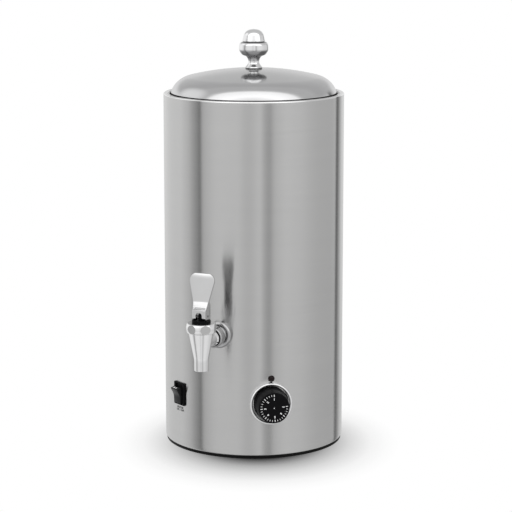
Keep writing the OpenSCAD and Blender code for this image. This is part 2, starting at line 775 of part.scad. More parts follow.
module tap_body() color("#dfe1e3") difference() {
    union() {
        translate([0, -tap_y, 0]) rotate_extrude() polygon([
            [0, spout_z], [spout_r, spout_z], [spout_r, spout_z + spout_straight], [tap_body_r, bonnet_z],
            [spigot_r, bonnet_z], [spigot_r, bonnet_z + spigot_h], [0, bonnet_z + spigot_h]
        ]);
        on_wall(0, tap_z) span(boss_r, boss_n, tap_y);
    }
    translate([0, -tap_y, 0]) rotate_extrude() polygon([
        [0, spout_z - past], [outlet_r, spout_z - past], [outlet_r, seat_face_z], [chamber_r0, seat_face_z],
        [chamber_r1, chamber_top_z], [chamber_r1, bonnet_z + spigot_h + past], [0, bonnet_z + spigot_h + past]
    ]);
    on_wall(0, tap_z) span(neck_r + snug, boss_n - past, tail_end_n + snug);
    on_wall(0, tap_z) span(neck_bore_r, tail_end_n, tap_y);
}

module tap_bonnet() color("#dfe1e3") translate([0, -tap_y, 0]) difference() {
    intersection() {
        rotate_extrude() polygon(concat(
            [[0, bonnet_z]],
            [for (t = [-1:0.25:1]) [bonnet_r - bonnet_bulge * t * t, bonnet_z + bonnet_h * (1 + t) / 2]],
            [[0, guide_z]]
        ));
        rotate([0, 0, bonnet_turn]) hex(2 * bonnet_flat_n, bonnet_z - past, guide_z + past);
    }
    span(spigot_r + snug, bonnet_z - past, bonnet_z + spigot_h + snug);
    span(guide_neck_r + snug, bonnet_z, guide_z + past);
}

module stem_guide() color("#161617") translate([0, -tap_y, 0]) difference() {
    union() {
        span(guide_r, guide_z, guide_z + guide_h);
        span(guide_neck_r, guide_z - guide_neck_l, guide_z);
    }
    span(stem_r + running, guide_z - guide_neck_l - past, guide_z + guide_h + past);
}

module tap_stem() color("#1c1c1e") translate([0, -tap_y, 0]) difference() {
    union() {
        span(stem_low_r, cup_z + cup_h, pin_z);
        span(stem_r, cup_z + cup_h + cup_boss_h, pin_z);
        translate([0, 0, pin_z]) sphere(r = stem_r);
    }
    translate([0, 0, pin_z]) rotate([0, 90, 0]) span(pin_r + running, -yoke_w, yoke_w);
}

module seat_cup() color("#e2e2de") translate([0, -tap_y, 0]) difference() {
    union() {
        span(cup_r, cup_z, cup_z + cup_h);
        span(cup_boss_r, cup_z, cup_z + cup_h + cup_boss_h);
    }
    span(stem_low_r + snug, cup_z + cup_h, cup_z + cup_h + cup_boss_h + past);
}

// Return spring round the stem, between the seat cup and the guide
spring_path = [
    for (i = [0:spring_turns * 8]) let (a = i * 45, t = i / (spring_turns * 8))
        [spring_r * cos(a), spring_r * sin(a) - tap_y, spring_z0 + t * (spring_z1 - spring_z0)]
];
spring_gap = min([
    for (i = [0:len(spring_path) - 6]) for (j = [i + 5:len(spring_path) - 1])
        norm(spring_path[i] - spring_path[j])
]) - 2 * spring_wire_r;
echo(spring_gap = spring_gap);
module tap_spring() color("#aeb0b2") tube(spring_path, spring_wire_r, 6);

// Lever: a yoke of two cheeks and a front wall, with the paddle rising from its sloping top
lever_lean = atan2(paddle_lean, paddle_top - paddle_foot);
function paddle_back(h) =
    paddle_foot_d - paddle_t / cos(lever_lean) - (h - paddle_foot) * tan(lever_lean);
module from_side(w) translate([-w / 2, -tap_y, pin_z]) rotate([90, 0, 90]) mirror([1, 0, 0])
    linear_extrude(w) children();

module tap_lever() color("#dfe1e3") difference() {
    union() {
        from_side(yoke_w) polygon(concat(
            [[-yoke_d, cheek_back_h], [-yoke_d, -foot_r]],
            arc(heel_d, 0, foot_r, -90, 0, 8),
            [[yoke_d, yoke_top], [paddle_foot_d, paddle_foot]],
            [for (h = [paddle_foot + paddle_t, cheek_reach_h]) [paddle_back(h) + paddle_t / 2, h]]
        ));
        translate([0, -tap_y - paddle_foot_d, pin_z + paddle_foot]) rotate([90 - lever_lean, 0, 0])
            translate([0, 0, -paddle_t]) linear_extrude(paddle_t) polygon(concat(
                [[-paddle_foot_w / 2, -1], [paddle_foot_w / 2, -1], [paddle_w / 2, paddle_wide_l]],
                arc(paddle_w / 2 - paddle_corner_r, paddle_corner_l, paddle_corner_r, 0, 90, 8),
                arc(paddle_corner_r - paddle_w / 2, paddle_corner_l, paddle_corner_r, 90, 180, 8),
                [[-paddle_w / 2, paddle_wide_l]]
            ));
    }
    from_side(yoke_w - 2 * cheek_t) polygon(concat(
        [[-2 * yoke_d, -2 * foot_r], [yoke_d - cheek_t, -2 * foot_r], [yoke_d - cheek_t, yoke_top - 1]],
        [for (h = [paddle_foot - 1, cheek_reach_h + past]) [paddle_back(h), h]],
        [[-2 * yoke_d, cheek_reach_h + past]]
    ));
    translate([0, -tap_y - 2 * yoke_d, pin_z + slot_top]) rotate([-90, 0, 0])
        span(slot_w / 2, 0, 2 * yoke_d);
    translate([0, -tap_y - yoke_d, 0])
        block([slot_w, 2 * yoke_d, foot_r + slot_top + past], foot_z - past);
    translate([0, -tap_y, pin_z]) rotate([0, 90, 0]) span(pin_r + snug / 2, -yoke_w, yoke_w);
}

module lever_pin() color("#c4c6c8") translate([0, -tap_y, pin_z]) rotate([0, 90, 0])
    span(pin_r, -yoke_w / 2, yoke_w / 2);

// Lid: a domed shell over an insulated plug
function dome(inset, steps) = concat(
    arc(shoulder_x, shoulder_z, shoulder_r - inset, 0, shoulder_a, steps),
    arc(0, crown_z, crown_r - inset, shoulder_a, 90, steps)
);
function flip(p) = [for (i = [len(p) - 1:-1:0]) p[i]];

module lid_shell() color("#d2d4d6") difference() {
    rotate_extrude() polygon(concat(
        [[lid_r, lid_skirt_z]], dome(0, 16), flip(dome(sheet_t, 16)), [[lid_r - sheet_t, lid_skirt_z]]
    ));
    span(screw_r + 0.2, dome_top_z - 10, dome_top_z + past);
}

module lid_liner() color("#c4c6c8") rotate_extrude() polygon([
    [0, liner_floor_z], [liner_r, liner_floor_z], [liner_r, liner_flange_z],
    [liner_flange_r, liner_flange_z], [liner_flange_r, liner_flange_z + sheet_t],
    [liner_r - sheet_t, liner_flange_z + sheet_t], [liner_r - sheet_t, liner_floor_z + sheet_t],
    [0, liner_floor_z + sheet_t]
]);

module lid_insulation() color("#e8dfbf") difference() {
    fill_r = liner_r - sheet_t - clear;
    rotate_extrude() polygon(concat(
        [[0, liner_floor_z + sheet_t], [fill_r, liner_floor_z + sheet_t], [fill_r, rim_z + fill_side_h]],
        arc(0, crown_z, crown_r - sheet_t - fill_gap, shoulder_a, 90, 8)
    ));
    span(lid_washer_r + 1, lid_washer_z - screw_head_h - 1, dome_top_z);
}

module lid_seal() color("#3a3a3c") pipe(liner_flange_r, tank_r + 1, seat_z, liner_flange_z);

// Knob: its outline is in fractions of the knob's largest radius and its height
knob_foot_z = dome_top_z;
knob_outline = curve([
    [0.579, 0], [0.579, 0.03], [0.48, 0.079], [0.39, 0.13], [0.37, 0.182], [0.4, 0.235], [0.473, 0.285],
    [0.56, 0.313], [0.72, 0.337], [0.824, 0.362], [0.92, 0.413], [0.985, 0.46], [1, 0.51], [0.99, 0.565],
    [0.965, 0.62], [0.9, 0.655], [0.8, 0.675]
], 3);
knob_cap = curve([
    [0.76, 0.69], [0.745, 0.735], [0.705, 0.8], [0.655, 0.87], [0.575, 0.918], [0.45, 0.957], [0.29, 0.984],
    [0.001, 1]
], 3);

module lid_knob() color("#dfe1e3") translate([0, 0, knob_foot_z]) difference() {
    rotate_extrude() polygon(concat(
        [[0, 0]],
        [for (p = concat(knob_outline, knob_cap)) [p.x * knob_r, p.y * knob_h]],
        [[0, knob_h]]
    ));
    span(knob_hole_r, -past, knob_hole_l);
}

module knob_screw() color("#a5a7a9") {
    span(screw_r, lid_washer_z, knob_foot_z + knob_hole_l - 1);
    span(screw_head_r, lid_washer_z - screw_head_h, lid_washer_z);
}

module knob_washer() color("#a5a7a9")
    pipe(lid_washer_r, screw_r + 0.2, lid_washer_z, lid_washer_z + lid_washer_t);

base_ring();
bottom_cover();
base_screws();
casing_front();
casing_rear();
inner_tank();
insulation_jacket();
heat_spreader();
heating_element();
element_clamp();
heater_stud();
heater_nuts();
heat_shield();
thermal_cutout();
thermostat_bracket();
thermostat_body();
thermostat_screws();
capillary_tube();
sensor_bulb();
thermostat_shaft();
thermostat_knob();
dial_bezel();
indicator_lens();
indicator_holder();
switch_housing();
switch_rocker();
switch_terminals();
terminal_block();
terminal_screws();
cord_gland();
gland_nut();
wiring_loom();
tap_shank();
shank_nut();
inner_washer();
outer_washer();
shank_spacer();
tap_escutcheon();
union_nut();
union_seal();
tap_tail();
tap_gasket();
tap_body();
tap_bonnet();
stem_guide();
tap_stem();
seat_cup();
tap_spring();
tap_lever();
lever_pin();
lid_shell();
lid_liner();
lid_insulation();
lid_seal();
lid_knob();
knob_screw();
knob_washer();
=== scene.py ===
import json
import math

import bpy
import numpy as np
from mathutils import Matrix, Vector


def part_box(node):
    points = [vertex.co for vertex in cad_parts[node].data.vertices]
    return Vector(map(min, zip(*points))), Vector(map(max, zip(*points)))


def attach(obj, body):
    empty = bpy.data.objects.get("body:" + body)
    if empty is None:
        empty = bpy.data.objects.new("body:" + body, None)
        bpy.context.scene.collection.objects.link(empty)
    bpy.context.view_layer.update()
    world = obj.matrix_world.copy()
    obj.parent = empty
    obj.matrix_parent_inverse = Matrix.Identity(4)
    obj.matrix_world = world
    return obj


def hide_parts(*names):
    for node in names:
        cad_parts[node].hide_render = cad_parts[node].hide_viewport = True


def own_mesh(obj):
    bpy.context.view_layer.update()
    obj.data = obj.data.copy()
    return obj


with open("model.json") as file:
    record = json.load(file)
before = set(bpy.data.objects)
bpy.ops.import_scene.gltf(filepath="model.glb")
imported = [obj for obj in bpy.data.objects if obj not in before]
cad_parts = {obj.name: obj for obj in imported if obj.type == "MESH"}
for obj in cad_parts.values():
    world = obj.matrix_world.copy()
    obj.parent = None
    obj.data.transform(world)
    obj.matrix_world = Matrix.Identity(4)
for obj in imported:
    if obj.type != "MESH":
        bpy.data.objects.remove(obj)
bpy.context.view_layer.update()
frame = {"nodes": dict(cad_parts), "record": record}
print("frame loaded:", len(frame["nodes"]), "nodes")

mm = 0.001
bodyR = 125.0  # casing radius, mm, the seat of everything on the wall
wallGap = 0.05
sheet = 1.0  # thickness of the steel
dialAngle, lampAngle, switchAngle = 31.9, 32.7, -33.2  # where they stand, in degrees from the front
tapY = -188.3
tapLevel, controlLevel, lampLevel, glandLevel = 173.5, 79.0, 112.5, 40.0  # heights of their axes


# Surfaces

# corners (a, b, fillet): each is cut back by fillet / tan(half its angle) on both sides, and an arc
# of that fillet, swung about its centre, joins the two cuts
def softened(corners, steps=6):
    spots = np.array([corner[:2] for corner in corners], float)
    line = []
    for i, corner in enumerate(corners):
        if len(corner) < 3:
            line.append(spots[i][None])
            continue
        sides = np.stack([spots[i - 1], spots[(i + 1) % len(spots)]]) - spots[i]
        sides /= np.linalg.norm(sides, axis=1)[:, None]
        half = math.acos(np.clip(sides[0] @ sides[1], -1, 1)) / 2
        fillet, sweep = corner[2], math.pi - 2 * half
        middle = spots[i] + sides.sum(0) / np.linalg.norm(sides.sum(0)) * fillet / math.sin(half)
        first, last = spots[i] + sides * fillet / math.tan(half) - middle
        t = np.linspace(0, 1, steps + 1)[:, None]
        line.append(middle + (np.sin((1 - t) * sweep) * first + np.sin(t * sweep) * last) / math.sin(sweep))
    return np.concatenate(line)


# arc of radius r about (a, b) from one angle to another, in degrees
def arc(a, b, r, start, end, steps):
    t = np.radians(np.linspace(start, end, steps + 1))
    return np.stack([a + r * np.cos(t), b + r * np.sin(t)], axis=1)


# smooth line through knots: between two knots the cubic whose slope at each is half the chord
# between that knot's neighbours
def throughKnots(knots, steps):
    k = np.array(knots, float)
    a, b, c, d = np.vstack([k[:1], k[:-2]]), k[:-1], k[1:], np.vstack([k[2:], k[-1:]])
    t = np.linspace(0, 1, steps, endpoint=False)[None, :, None]
    a, b, c, d = (v[:, None] for v in (a, b, c, d))
    line = 0.5 * (2 * b + (c - a) * t + (2 * a - 5 * b + 4 * c - d) * t**2 + (3 * b - a - 3 * c + d) * t**3)
    return np.vstack([line.reshape(-1, k.shape[1]), k[-1:]])


# turned shape: a line of (radius, level) swept round, point = (radius cos a, radius sin a, level)
def turned(line, segments=144):
    a = np.linspace(0, 2 * np.pi, segments, endpoint=False)
    return np.stack([line[:, :1] * np.cos(a), line[:, :1] * np.sin(a), line[:, 1:] + 0 * a], axis=-1)


# rounded rectangle: corner arcs about (half width - corner, half height - corner), one after another
def roundedBox(halfWidth, halfHeight, corner, steps=8):
    t = np.radians(np.linspace(0, 90, steps + 1))
    quarter = [(1, 1, 0), (-1, 1, 90), (-1, -1, 180), (1, -1, 270)]
    return np.concatenate([
        np.stack([sx * (halfWidth - corner) + corner * np.cos(t + math.radians(turn)),
                  sy * (halfHeight - corner) + corner * np.sin(t + math.radians(turn))], axis=1)
        for sx, sy, turn in quarter])


# slab: a closed flat line pushed through a thickness, its rims rounded: at angle t of the rim the line
# is drawn in by edge (1 - cos t) along its own normal and stands at half thickness - edge + edge sin t
def slab(line, half, edge, steps=4):
    along = np.roll(line, -1, axis=0) - np.roll(line, 1, axis=0)
    inward = np.stack([-along[:, 1], along[:, 0]], axis=1) / np.linalg.norm(along, axis=1)[:, None]
    t = np.radians(np.linspace(0, 90, steps + 1))
    level = np.concatenate([-(half - edge + edge * np.sin(t))[::-1], half - edge + edge * np.sin(t)])
    draw = np.concatenate([(edge * (1 - np.cos(t)))[::-1], edge * (1 - np.cos(t))])
    flat = line[None] + draw[:, None, None] * inward[None]
    return np.concatenate([flat, np.broadcast_to(level[:, None, None], flat.shape[:2] + (1,))], axis=2)


# what reaches into the casing comes out to its wall: out = sqrt(radius squared - across squared)
def seated(points):
    wall = np.sqrt((bodyR + wallGap)**2 - points[..., 0]**2)
    return np.concatenate([points[..., :2], np.maximum(points[..., 2], wall)[..., None]], axis=-1)


# (across, up, out) on the wall at an angle from the front
def onWall(angle, height):
    a = math.radians(angle)
    axes = np.array([[math.cos(a), math.sin(a), 0], [0, 0, 1], [math.sin(a), -math.cos(a), 0]])
    return lambda points: points @ axes + np.array([0, 0, height])


# quads between neighbouring points of a grid; wrap closes the rows on themselves, ring joins the last
# row to the first, fan closes the two end rows with a point in their middle, and ends closes the two
# outer columns with a face each
def skin(points, wrap=True, ring=False, fan=False, ends=False):
    rows, columns = points.shape[:2]
    index = np.arange(rows * columns).reshape(rows, columns)
    spots = points.reshape(-1, 3)
    a = index if ring else index[:-1]
    b = np.roll(index, -1, axis=0) if ring else index[1:]
    pick = (lambda g: (g, np.roll(g, -1, axis=1))) if wrap else (lambda g: (g[:, :-1], g[:, 1:]))
    quads = np.stack([*pick(a), *pick(b)[::-1]], axis=-1).reshape(-1, 4)
    faces = quads.tolist()
    if ends:
        faces += [index[:, 0].tolist(), index[::-1, -1].tolist()]
    if fan:
        spots = np.vstack([spots, points[0].mean(0), points[-1].mean(0)])
        for row, middle, turn in ((index[0], rows * columns, -1), (index[-1], rows * columns + 1, 1)):
            corners = np.stack([row, np.roll(row, -1), np.full(columns, middle)], axis=1)
            faces += corners[:, ::turn].tolist()
    return spots, faces


# six times the volume inside a surface: the sum over its triangles of a . (b x c)
def volume(spots, faces):
    parts = [[f[0], f[i], f[i + 1]] for f in faces for i in range(1, len(f) - 1)]
    a, b, c = spots[np.array(parts)].transpose(1, 0, 2)
    return np.einsum("ij,ij->", a - spots.mean(0), np.cross(b - spots.mean(0), c - spots.mean(0)))


def linked(name, data):
    made = bpy.data.objects.new(name, data)
    bpy.context.scene.collection.objects.link(made)
    return made


# one mesh of (spots, faces) parts in mm, each turned outward; its finish is the slot's own unless one is given
def newPiece(name, parts, body, slot, stands=(), material=None, sharp=32, solid=True):
    spots, faces, start = [], [], 0
    for partSpots, partFaces in parts:
        if solid and volume(partSpots, partFaces) < 0:
            partFaces = [f[::-1] for f in partFaces]
        spots.append(partSpots)
        faces += [[i + start for i in f] for f in partFaces]
        start += len(partSpots)
    mesh = bpy.data.meshes.new(name)
    mesh.from_pydata((np.concatenate(spots) * mm).tolist(), [], faces)
    mesh.shade_smooth()
    mesh.set_sharp_from_angle(angle=math.radians(sharp))
    mesh.materials.append(material or finishes[slot])
    piece = linked(name, mesh)
    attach(piece, body)
    if stands:
        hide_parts(*stands)
    return piece


# a surface set in its place, as the only part of a piece
def placed(surface, place):
    return [(place(surface[0]), surface[1])]


# letters: their outline as a thin solid, in mm about the middle of the word
def letters(text, height, depth, bold=0.0, spacing=1.0):
    curve = bpy.data.curves.new("letters", "FONT")
    curve.body, curve.size, curve.extrude, curve.resolution_u = text, height / 0.7, depth / 2, 3
    curve.align_x, curve.align_y = "CENTER", "CENTER"
    curve.offset, curve.space_character = bold, spacing
    holder = linked("letters", curve)
    mesh = holder.evaluated_get(bpy.context.evaluated_depsgraph_get()).to_mesh()
    spots = np.empty(len(mesh.vertices) * 3)
    mesh.vertices.foreach_get("co", spots)
    faces = [list(p.vertices) for p in mesh.polygons]
    bpy.data.objects.remove(holder)
    bpy.data.curves.remove(curve)
    return spots.reshape(-1, 3), faces


# bars: a box of each size about each place, turned by each angle
def bars(centres, angles, sizes, depth):
    corner = np.array([[x, y, z] for z in (-1, 1) for x, y in ((-1, -1), (1, -1), (1, 1), (-1, 1))]) / 2
    side = [[3, 2, 1, 0], [4, 5, 6, 7], [0, 1, 5, 4], [1, 2, 6, 5], [2, 3, 7, 6], [3, 0, 4, 7]]
    flat = corner[None] * np.column_stack([sizes, np.full(len(sizes), depth)])[:, None]
    c, s = np.cos(angles)[:, None], np.sin(angles)[:, None]
    spots = np.stack([flat[..., 0] * c - flat[..., 1] * s + centres[:, :1],
                      flat[..., 0] * s + flat[..., 1] * c + centres[:, 1:], flat[..., 2]], axis=-1)
    faces = np.array(side)[None] + 8 * np.arange(len(sizes))[:, None, None]
    return spots.reshape(-1, 3), faces.reshape(-1, 4).tolist()


# Finishes

class Wire:  # one output of a node; sums and products of wires add Math nodes
    def __init__(self, tree, socket):
        self.tree, self.socket = tree, socket

    def __add__(self, other): return self.tree.worked("ADD", self, other)
    def __radd__(self, other): return self.tree.worked("ADD", other, self)
    def __sub__(self, other): return self.tree.worked("SUBTRACT", self, other)
    def __rsub__(self, other): return self.tree.worked("SUBTRACT", other, self)
    def __mul__(self, other): return self.tree.worked("MULTIPLY", self, other)
    def __truediv__(self, other): return self.tree.worked("DIVIDE", self, other)
    def __gt__(self, other): return self.tree.worked("GREATER_THAN", self, other)


class Tree:  # the nodes of a material or world, begun empty
    def __init__(self, owner):
        owner.use_nodes = True
        self.nodes, self.links = owner.node_tree.nodes, owner.node_tree.links
        self.nodes.clear()

    def node(self, kind, settings=None, inputs=None, output=0):
        made = self.nodes.new(kind)
        for name, value in (settings or {}).items():
            if name == "stops":
                ramp = made.color_ramp
                while len(ramp.elements) < len(value):
                    ramp.elements.new(0.5)
                for element, (place, shade) in zip(ramp.elements, value):
                    element.position = place
                    element.color = (*([shade] * 3 if np.isscalar(shade) else shade), 1)
            else:
                setattr(made, name, value)
        for name, value in (inputs or {}).items():
            if isinstance(value, Wire):
                self.links.new(value.socket, made.inputs[name])
            else:
                made.inputs[name].default_value = value
        return Wire(self, made.outputs[output]) if made.outputs else made

    def worked(self, operation, *values):
        return self.node("ShaderNodeMath", {"operation": operation}, dict(enumerate(values)))

    def ramp(self, stops, share):
        return self.node("ShaderNodeValToRGB", {"stops": stops}, {"Fac": share})

    def along(self, axis, kind="ShaderNodeTexCoord", output="Object"):  # one coordinate of the place or the normal
        return self.node("ShaderNodeSeparateXYZ", inputs={0: self.node(kind, output=output)}, output=axis)

    def slope(self):
        return self.along(2, "ShaderNodeNewGeometry", "Normal")

    def blend(self, share, first, second):  # colour mix
        return self.node("ShaderNodeMix", {"data_type": "RGBA"}, {0: share, 6: first, 7: second}, 2)

    def grain(self, scale, detail=2.0, stretch=(1, 1, 1), roughness=0.5):
        where = self.node("ShaderNodeTexCoord", output="Object")
        where = self.node("ShaderNodeMapping", inputs={"Vector": where, "Scale": stretch})
        return self.node("ShaderNodeTexNoise", inputs={
            "Vector": where, "Scale": scale, "Detail": detail, "Roughness": roughness})


def rgb(r, g=None, b=None):
    return (r, r if g is None else g, r if b is None else b, 1)


def finish(name, build):
    material = bpy.data.materials.new(name)
    tree = Tree(material)
    constants = build(tree)
    shader = tree.node("ShaderNodeBsdfPrincipled", inputs=constants)
    tree.node("ShaderNodeOutputMaterial", inputs={"Surface": shader})
    return material


def smooth(tree, value, low, high):
    return tree.node("ShaderNodeMapRange", {"interpolation_type": "SMOOTHSTEP"},
                     {"Value": value, "From Min": low, "From Max": high})


def bumped(tree, height, distance, strength=0.6):
    return tree.node("ShaderNodeBump", inputs={"Height": height, "Distance": distance, "Strength": strength})


# rimPaintedHighlight: the base colour of the rolled edge, lifted as a painted highlight
brush = dict(dark=0.49, light=0.57, roughness=0.20, spread=0.08, lines=9.0, anisotropy=0.95,
                rim=0.4883, rimPaintedHighlight=0.82)


def brushedRound(tree):  # fine lines run round the body, so the noise is drawn out across and tight up it
    fine = tree.grain(brush["lines"], 3.0, (1, 1, 160), 0.65)
    broad = tree.grain(brush["lines"] * 0.6, 2.0, (1, 1, 12))
    smudge = tree.grain(14.0, 3.0)
    shade = fine * 0.6 + broad * 0.25 + smudge * 0.15
    rolled = tree.along(2) > brush["rim"]  # the rolled edge: lower roughness, and its base colour lifted as a painted highlight
    wall = tree.blend(shade, rgb(brush["dark"]), rgb(brush["light"], brush["light"], brush["light"] * 0.99))
    return {
        "Base Color": tree.blend(rolled, wall, rgb(brush["rimPaintedHighlight"])),
        "Metallic": 1.0, "Anisotropic": brush["anisotropy"], "Anisotropic Rotation": 0.25,
        "Roughness": brush["roughness"] - rolled * 0.08 + (fine - 0.5) * brush["spread"] + (smudge - 0.5) * 0.04,
        "Normal": bumped(tree, fine, 0.00002, 0.35)}


def polishedLid(tree):  # satin polish with faint wiping marks
    wipe = tree.grain(30.0, 4.0, (1, 1, 3))
    fine = tree.grain(900.0, 2.0)
    return {
        "Base Color": tree.blend(wipe, rgb(0.56, 0.56, 0.565), rgb(0.63, 0.63, 0.635)), "Metallic": 1.0,
        "Roughness": 0.13 + (wipe - 0.5) * 0.06 + (fine - 0.5) * 0.03,
        "Normal": bumped(tree, fine, 0.000006, 0.3)}


def satinTank(tree):
    fine = tree.grain(10.0, 3.0, (1, 1, 120), 0.65)
    scale = tree.grain(22.0, 4.0)
    return {
        "Base Color": tree.blend(fine * 0.6 + scale * 0.4, rgb(0.50), rgb(0.62)), "Metallic": 1.0,
        "Roughness": 0.30 + (scale - 0.5) * 0.12, "Normal": bumped(tree, fine, 0.00002, 0.4)}


def chromed(light, rough, undersideShade=((0, 1), (1, 1)), jointShade=None):
    def build(tree):  # plated: clear mirror with a little haze, darkened by slope where it hangs over as painted shade
        haze = tree.grain(70.0, 4.0)
        fine = tree.grain(1500.0, 2.0)
        # painted shade: the plate goes towards near black where it faces down
        paintedShadeMask = tree.ramp(undersideShade, tree.slope() * 0.5 + 0.5)
        if jointShade:  # painted shade in the turned joints and at the foot, by height on the piece
            share = (tree.along(2) - jointShade["low"]) / (jointShade["high"] - jointShade["low"])
            paintedShadeMask = paintedShadeMask * tree.ramp(jointShade["stops"], share)
        plate = tree.blend(haze, rgb(light - 0.05), rgb(light, light, light * 1.01))
        return {
            "Base Color": tree.blend(paintedShadeMask, rgb(0.01), plate), "Metallic": 1.0,
            "Roughness": rough + (haze - 0.5) * 0.05 + (fine - 0.5) * 0.02,
            "Normal": bumped(tree, haze, 0.00003, 0.2)}
    return build


def moulded(colour, rough, coat=0.0, pit=0.00002, shine=0.3):
    def build(tree):  # moulded plastic: spark-eroded pitting, a little uneven gloss
        pits = tree.grain(2600.0, 2.0)
        flow = tree.grain(45.0, 3.0)
        lighter = tuple(c * 1.25 for c in colour)
        return {
            "Base Color": tree.blend(flow, rgb(*colour), rgb(*lighter)), "Coat Weight": coat, "Coat Roughness": 0.12,
            "Specular IOR Level": shine,
            "Roughness": rough + (flow - 0.5) * 0.10 + (pits - 0.5) * 0.05,
            "Normal": bumped(tree, pits, pit, 0.5)}
    return build


def plainMetal(dark, light, rough):
    def build(tree):  # turned, drawn or rolled metal that is out of sight in use
        mottled = tree.grain(60.0, 4.0)
        fine = tree.grain(700.0, 2.0)
        return {
            "Base Color": tree.blend(mottled, rgb(*dark), rgb(*light)), "Metallic": 1.0,
            "Roughness": rough + (mottled - 0.5) * 0.14, "Normal": bumped(tree, fine, 0.00002, 0.4)}
    return build


def woolly(tree):
    tuft = tree.grain(120.0, 6.0, (1, 1, 2.5), 0.7)
    return {"Base Color": tree.blend(tuft, rgb(0.62, 0.54, 0.36), rgb(0.84, 0.78, 0.60)), "Roughness": 0.95,
            "Normal": bumped(tree, tuft, 0.002, 0.8)}


def sleeved(tree):
    braid = tree.grain(1800.0, 2.0)
    return {"Base Color": tree.blend(braid, rgb(0.20, 0.10, 0.06), rgb(0.42, 0.25, 0.15)), "Roughness": 0.75,
            "Normal": bumped(tree, braid, 0.0001, 0.6)}


def printed(shade):
    def build(tree):  # ink with slightly worn cover
        worn = tree.grain(700.0, 3.0)
        return {"Base Color": tree.blend(worn, rgb(shade * 0.88), rgb(min(shade * 1.08, 0.92))),
                "Roughness": 0.45 + (worn - 0.5) * 0.15}
    return build


black = (0.005, 0.005, 0.0055)
finishes = {
    "casing_steel": finish("brushed casing steel", brushedRound),
    "lid_steel": finish("polished lid steel", polishedLid),
    "tank_steel": finish("satin tank steel", satinTank),
    "plain_steel": finish("plated sheet steel", plainMetal((0.42, 0.42, 0.43), (0.58, 0.58, 0.59), 0.38)),
    "fastener_steel": finish("turned steel", plainMetal((0.45, 0.45, 0.46), (0.60, 0.60, 0.61), 0.28)),
    "chrome_plate": finish("chrome plate", chromed(0.84, 0.06)),
    "lever_chrome": finish("lever chrome", chromed(0.64, 0.10)),
    # knob chrome: painted shade where it faces down, and in its joints and at its foot
    "knob_chrome": finish("knob chrome", chromed(0.84, 0.03, ((0, 0.25), (0.25, 0.3), (0.4, 0.6), (0.48, 1)), dict(
        low=0.523, high=0.577, stops=[
            (0, 0.3), (0.02, 0.3), (0.035, 1), (0.655, 1), (0.666, 0.25), (0.686, 0.25), (0.7, 1)]))),
    "base_plastic": finish("base plastic", moulded((0.004, 0.004, 0.004), 0.5, shine=0.08)),
    "dial_plastic": finish("dial plastic", moulded(black, 0.36, shine=0.04)),
    "black_plastic": finish("black plastic", moulded(black, 0.40, shine=0.04)),
    "rocker_plastic": finish("rocker plastic", moulded((0.006, 0.006, 0.0065), 0.22, shine=0.15)),
    "smoked_lens": finish("smoked lens", moulded((0.008, 0.004, 0.004), 0.12, 0.0, 0.000005, 0.15)),
    "black_rubber": finish("black rubber", moulded((0.006, 0.006, 0.006), 0.7, 0.0, 0.00005, 0.08)),
    "silicone": finish("white silicone", moulded((0.66, 0.66, 0.63), 0.45)),
    "cream_plastic": finish("cream plastic", moulded((0.58, 0.55, 0.47), 0.5)),
    "insulation": finish("insulating wool", woolly),
    "spreader_aluminium": finish("cast aluminium", plainMetal((0.55, 0.56, 0.57), (0.68, 0.69, 0.70), 0.45)),
    "element_sheath": finish("oxidised sheath", plainMetal((0.12, 0.12, 0.13), (0.28, 0.27, 0.27), 0.5)),
    "copper": finish("drawn copper", plainMetal((0.60, 0.30, 0.18), (0.80, 0.46, 0.30), 0.3)),
    "brass": finish("bright brass", plainMetal((0.62, 0.48, 0.20), (0.80, 0.66, 0.34), 0.26)),
    "wire_sleeve": finish("wire sleeve", sleeved),
}
# a lighter, rougher copy of chrome plate for the dial's ring: its extra lightness is painted highlight
paintedHighlightChrome = finish("ring chrome with painted highlight", chromed(0.93, 0.16))
# a darker, rougher copy of chrome plate for the tap's flange and union nut: the darkness is painted shade, the
# roughness a rougher finish
roughChromePaintedShade = finish("rough chrome with painted shade", chromed(0.50, 0.20))
whitePrint = finish("white print", printed(0.82))
darkPrint = finish("dark print", printed(0.03))
for part in frame["record"]["subparts"]:
    mesh = frame["nodes"][part["node"]].data
    mesh.materials.clear()
    mesh.materials.append(finishes[part["material_slot"]])
print("finishes made:", len(finishes))


# Sheet-metal walls, drawn as one face and then thickened; a hole drops the quads inside it

def wallRows(low, high, edges, step):
    rows = np.arange(low, high, step)
    return np.unique(np.concatenate([rows, [high], *[[e - 0.01, e + 0.01] for e in edges]]).round(3))


def sheetWall(name, line, holes, body, slot, stands, inward, segments=720):
    spots, faces = skin(turned(line, segments))
    faces = np.array(faces)
    middle = spots[faces].mean(1)
    keep = np.ones(len(faces), bool)
    for angle, height, halfWidth, halfHeight, wallR in holes:
        a = math.radians(angle)
        across = middle[:, 0] * math.cos(a) + middle[:, 1] * math.sin(a)
        out = middle[:, 0] * math.sin(a) - middle[:, 1] * math.cos(a)
        keep &= ~((np.abs(across) < halfWidth) & (np.abs(middle[:, 2] - height) < halfHeight) & (out > wallR))
    normal = np.cross(spots[faces[:, 1]] - spots[faces[:, 0]], spots[faces[:, 3]] - spots[faces[:, 0]])
    steep = np.abs(normal[:, 2]) < 0.3 * np.linalg.norm(normal, axis=1)
    outward = np.einsum("ij,ij->", normal[steep][:, :2], middle[steep][:, :2]) > 0
    faces = faces[keep]
    faces = faces[:, ::-1] if outward == inward else faces
    used, faces = np.unique(faces, return_inverse=True)
    piece = newPiece(name, [(spots[used], faces.reshape(-1, 4).tolist())], body, slot, stands, solid=False)
    thick = piece.modifiers.new("sheet", "SOLIDIFY")
    thick.thickness, thick.offset, thick.use_even_offset = sheet * mm, -1, True
    return piece


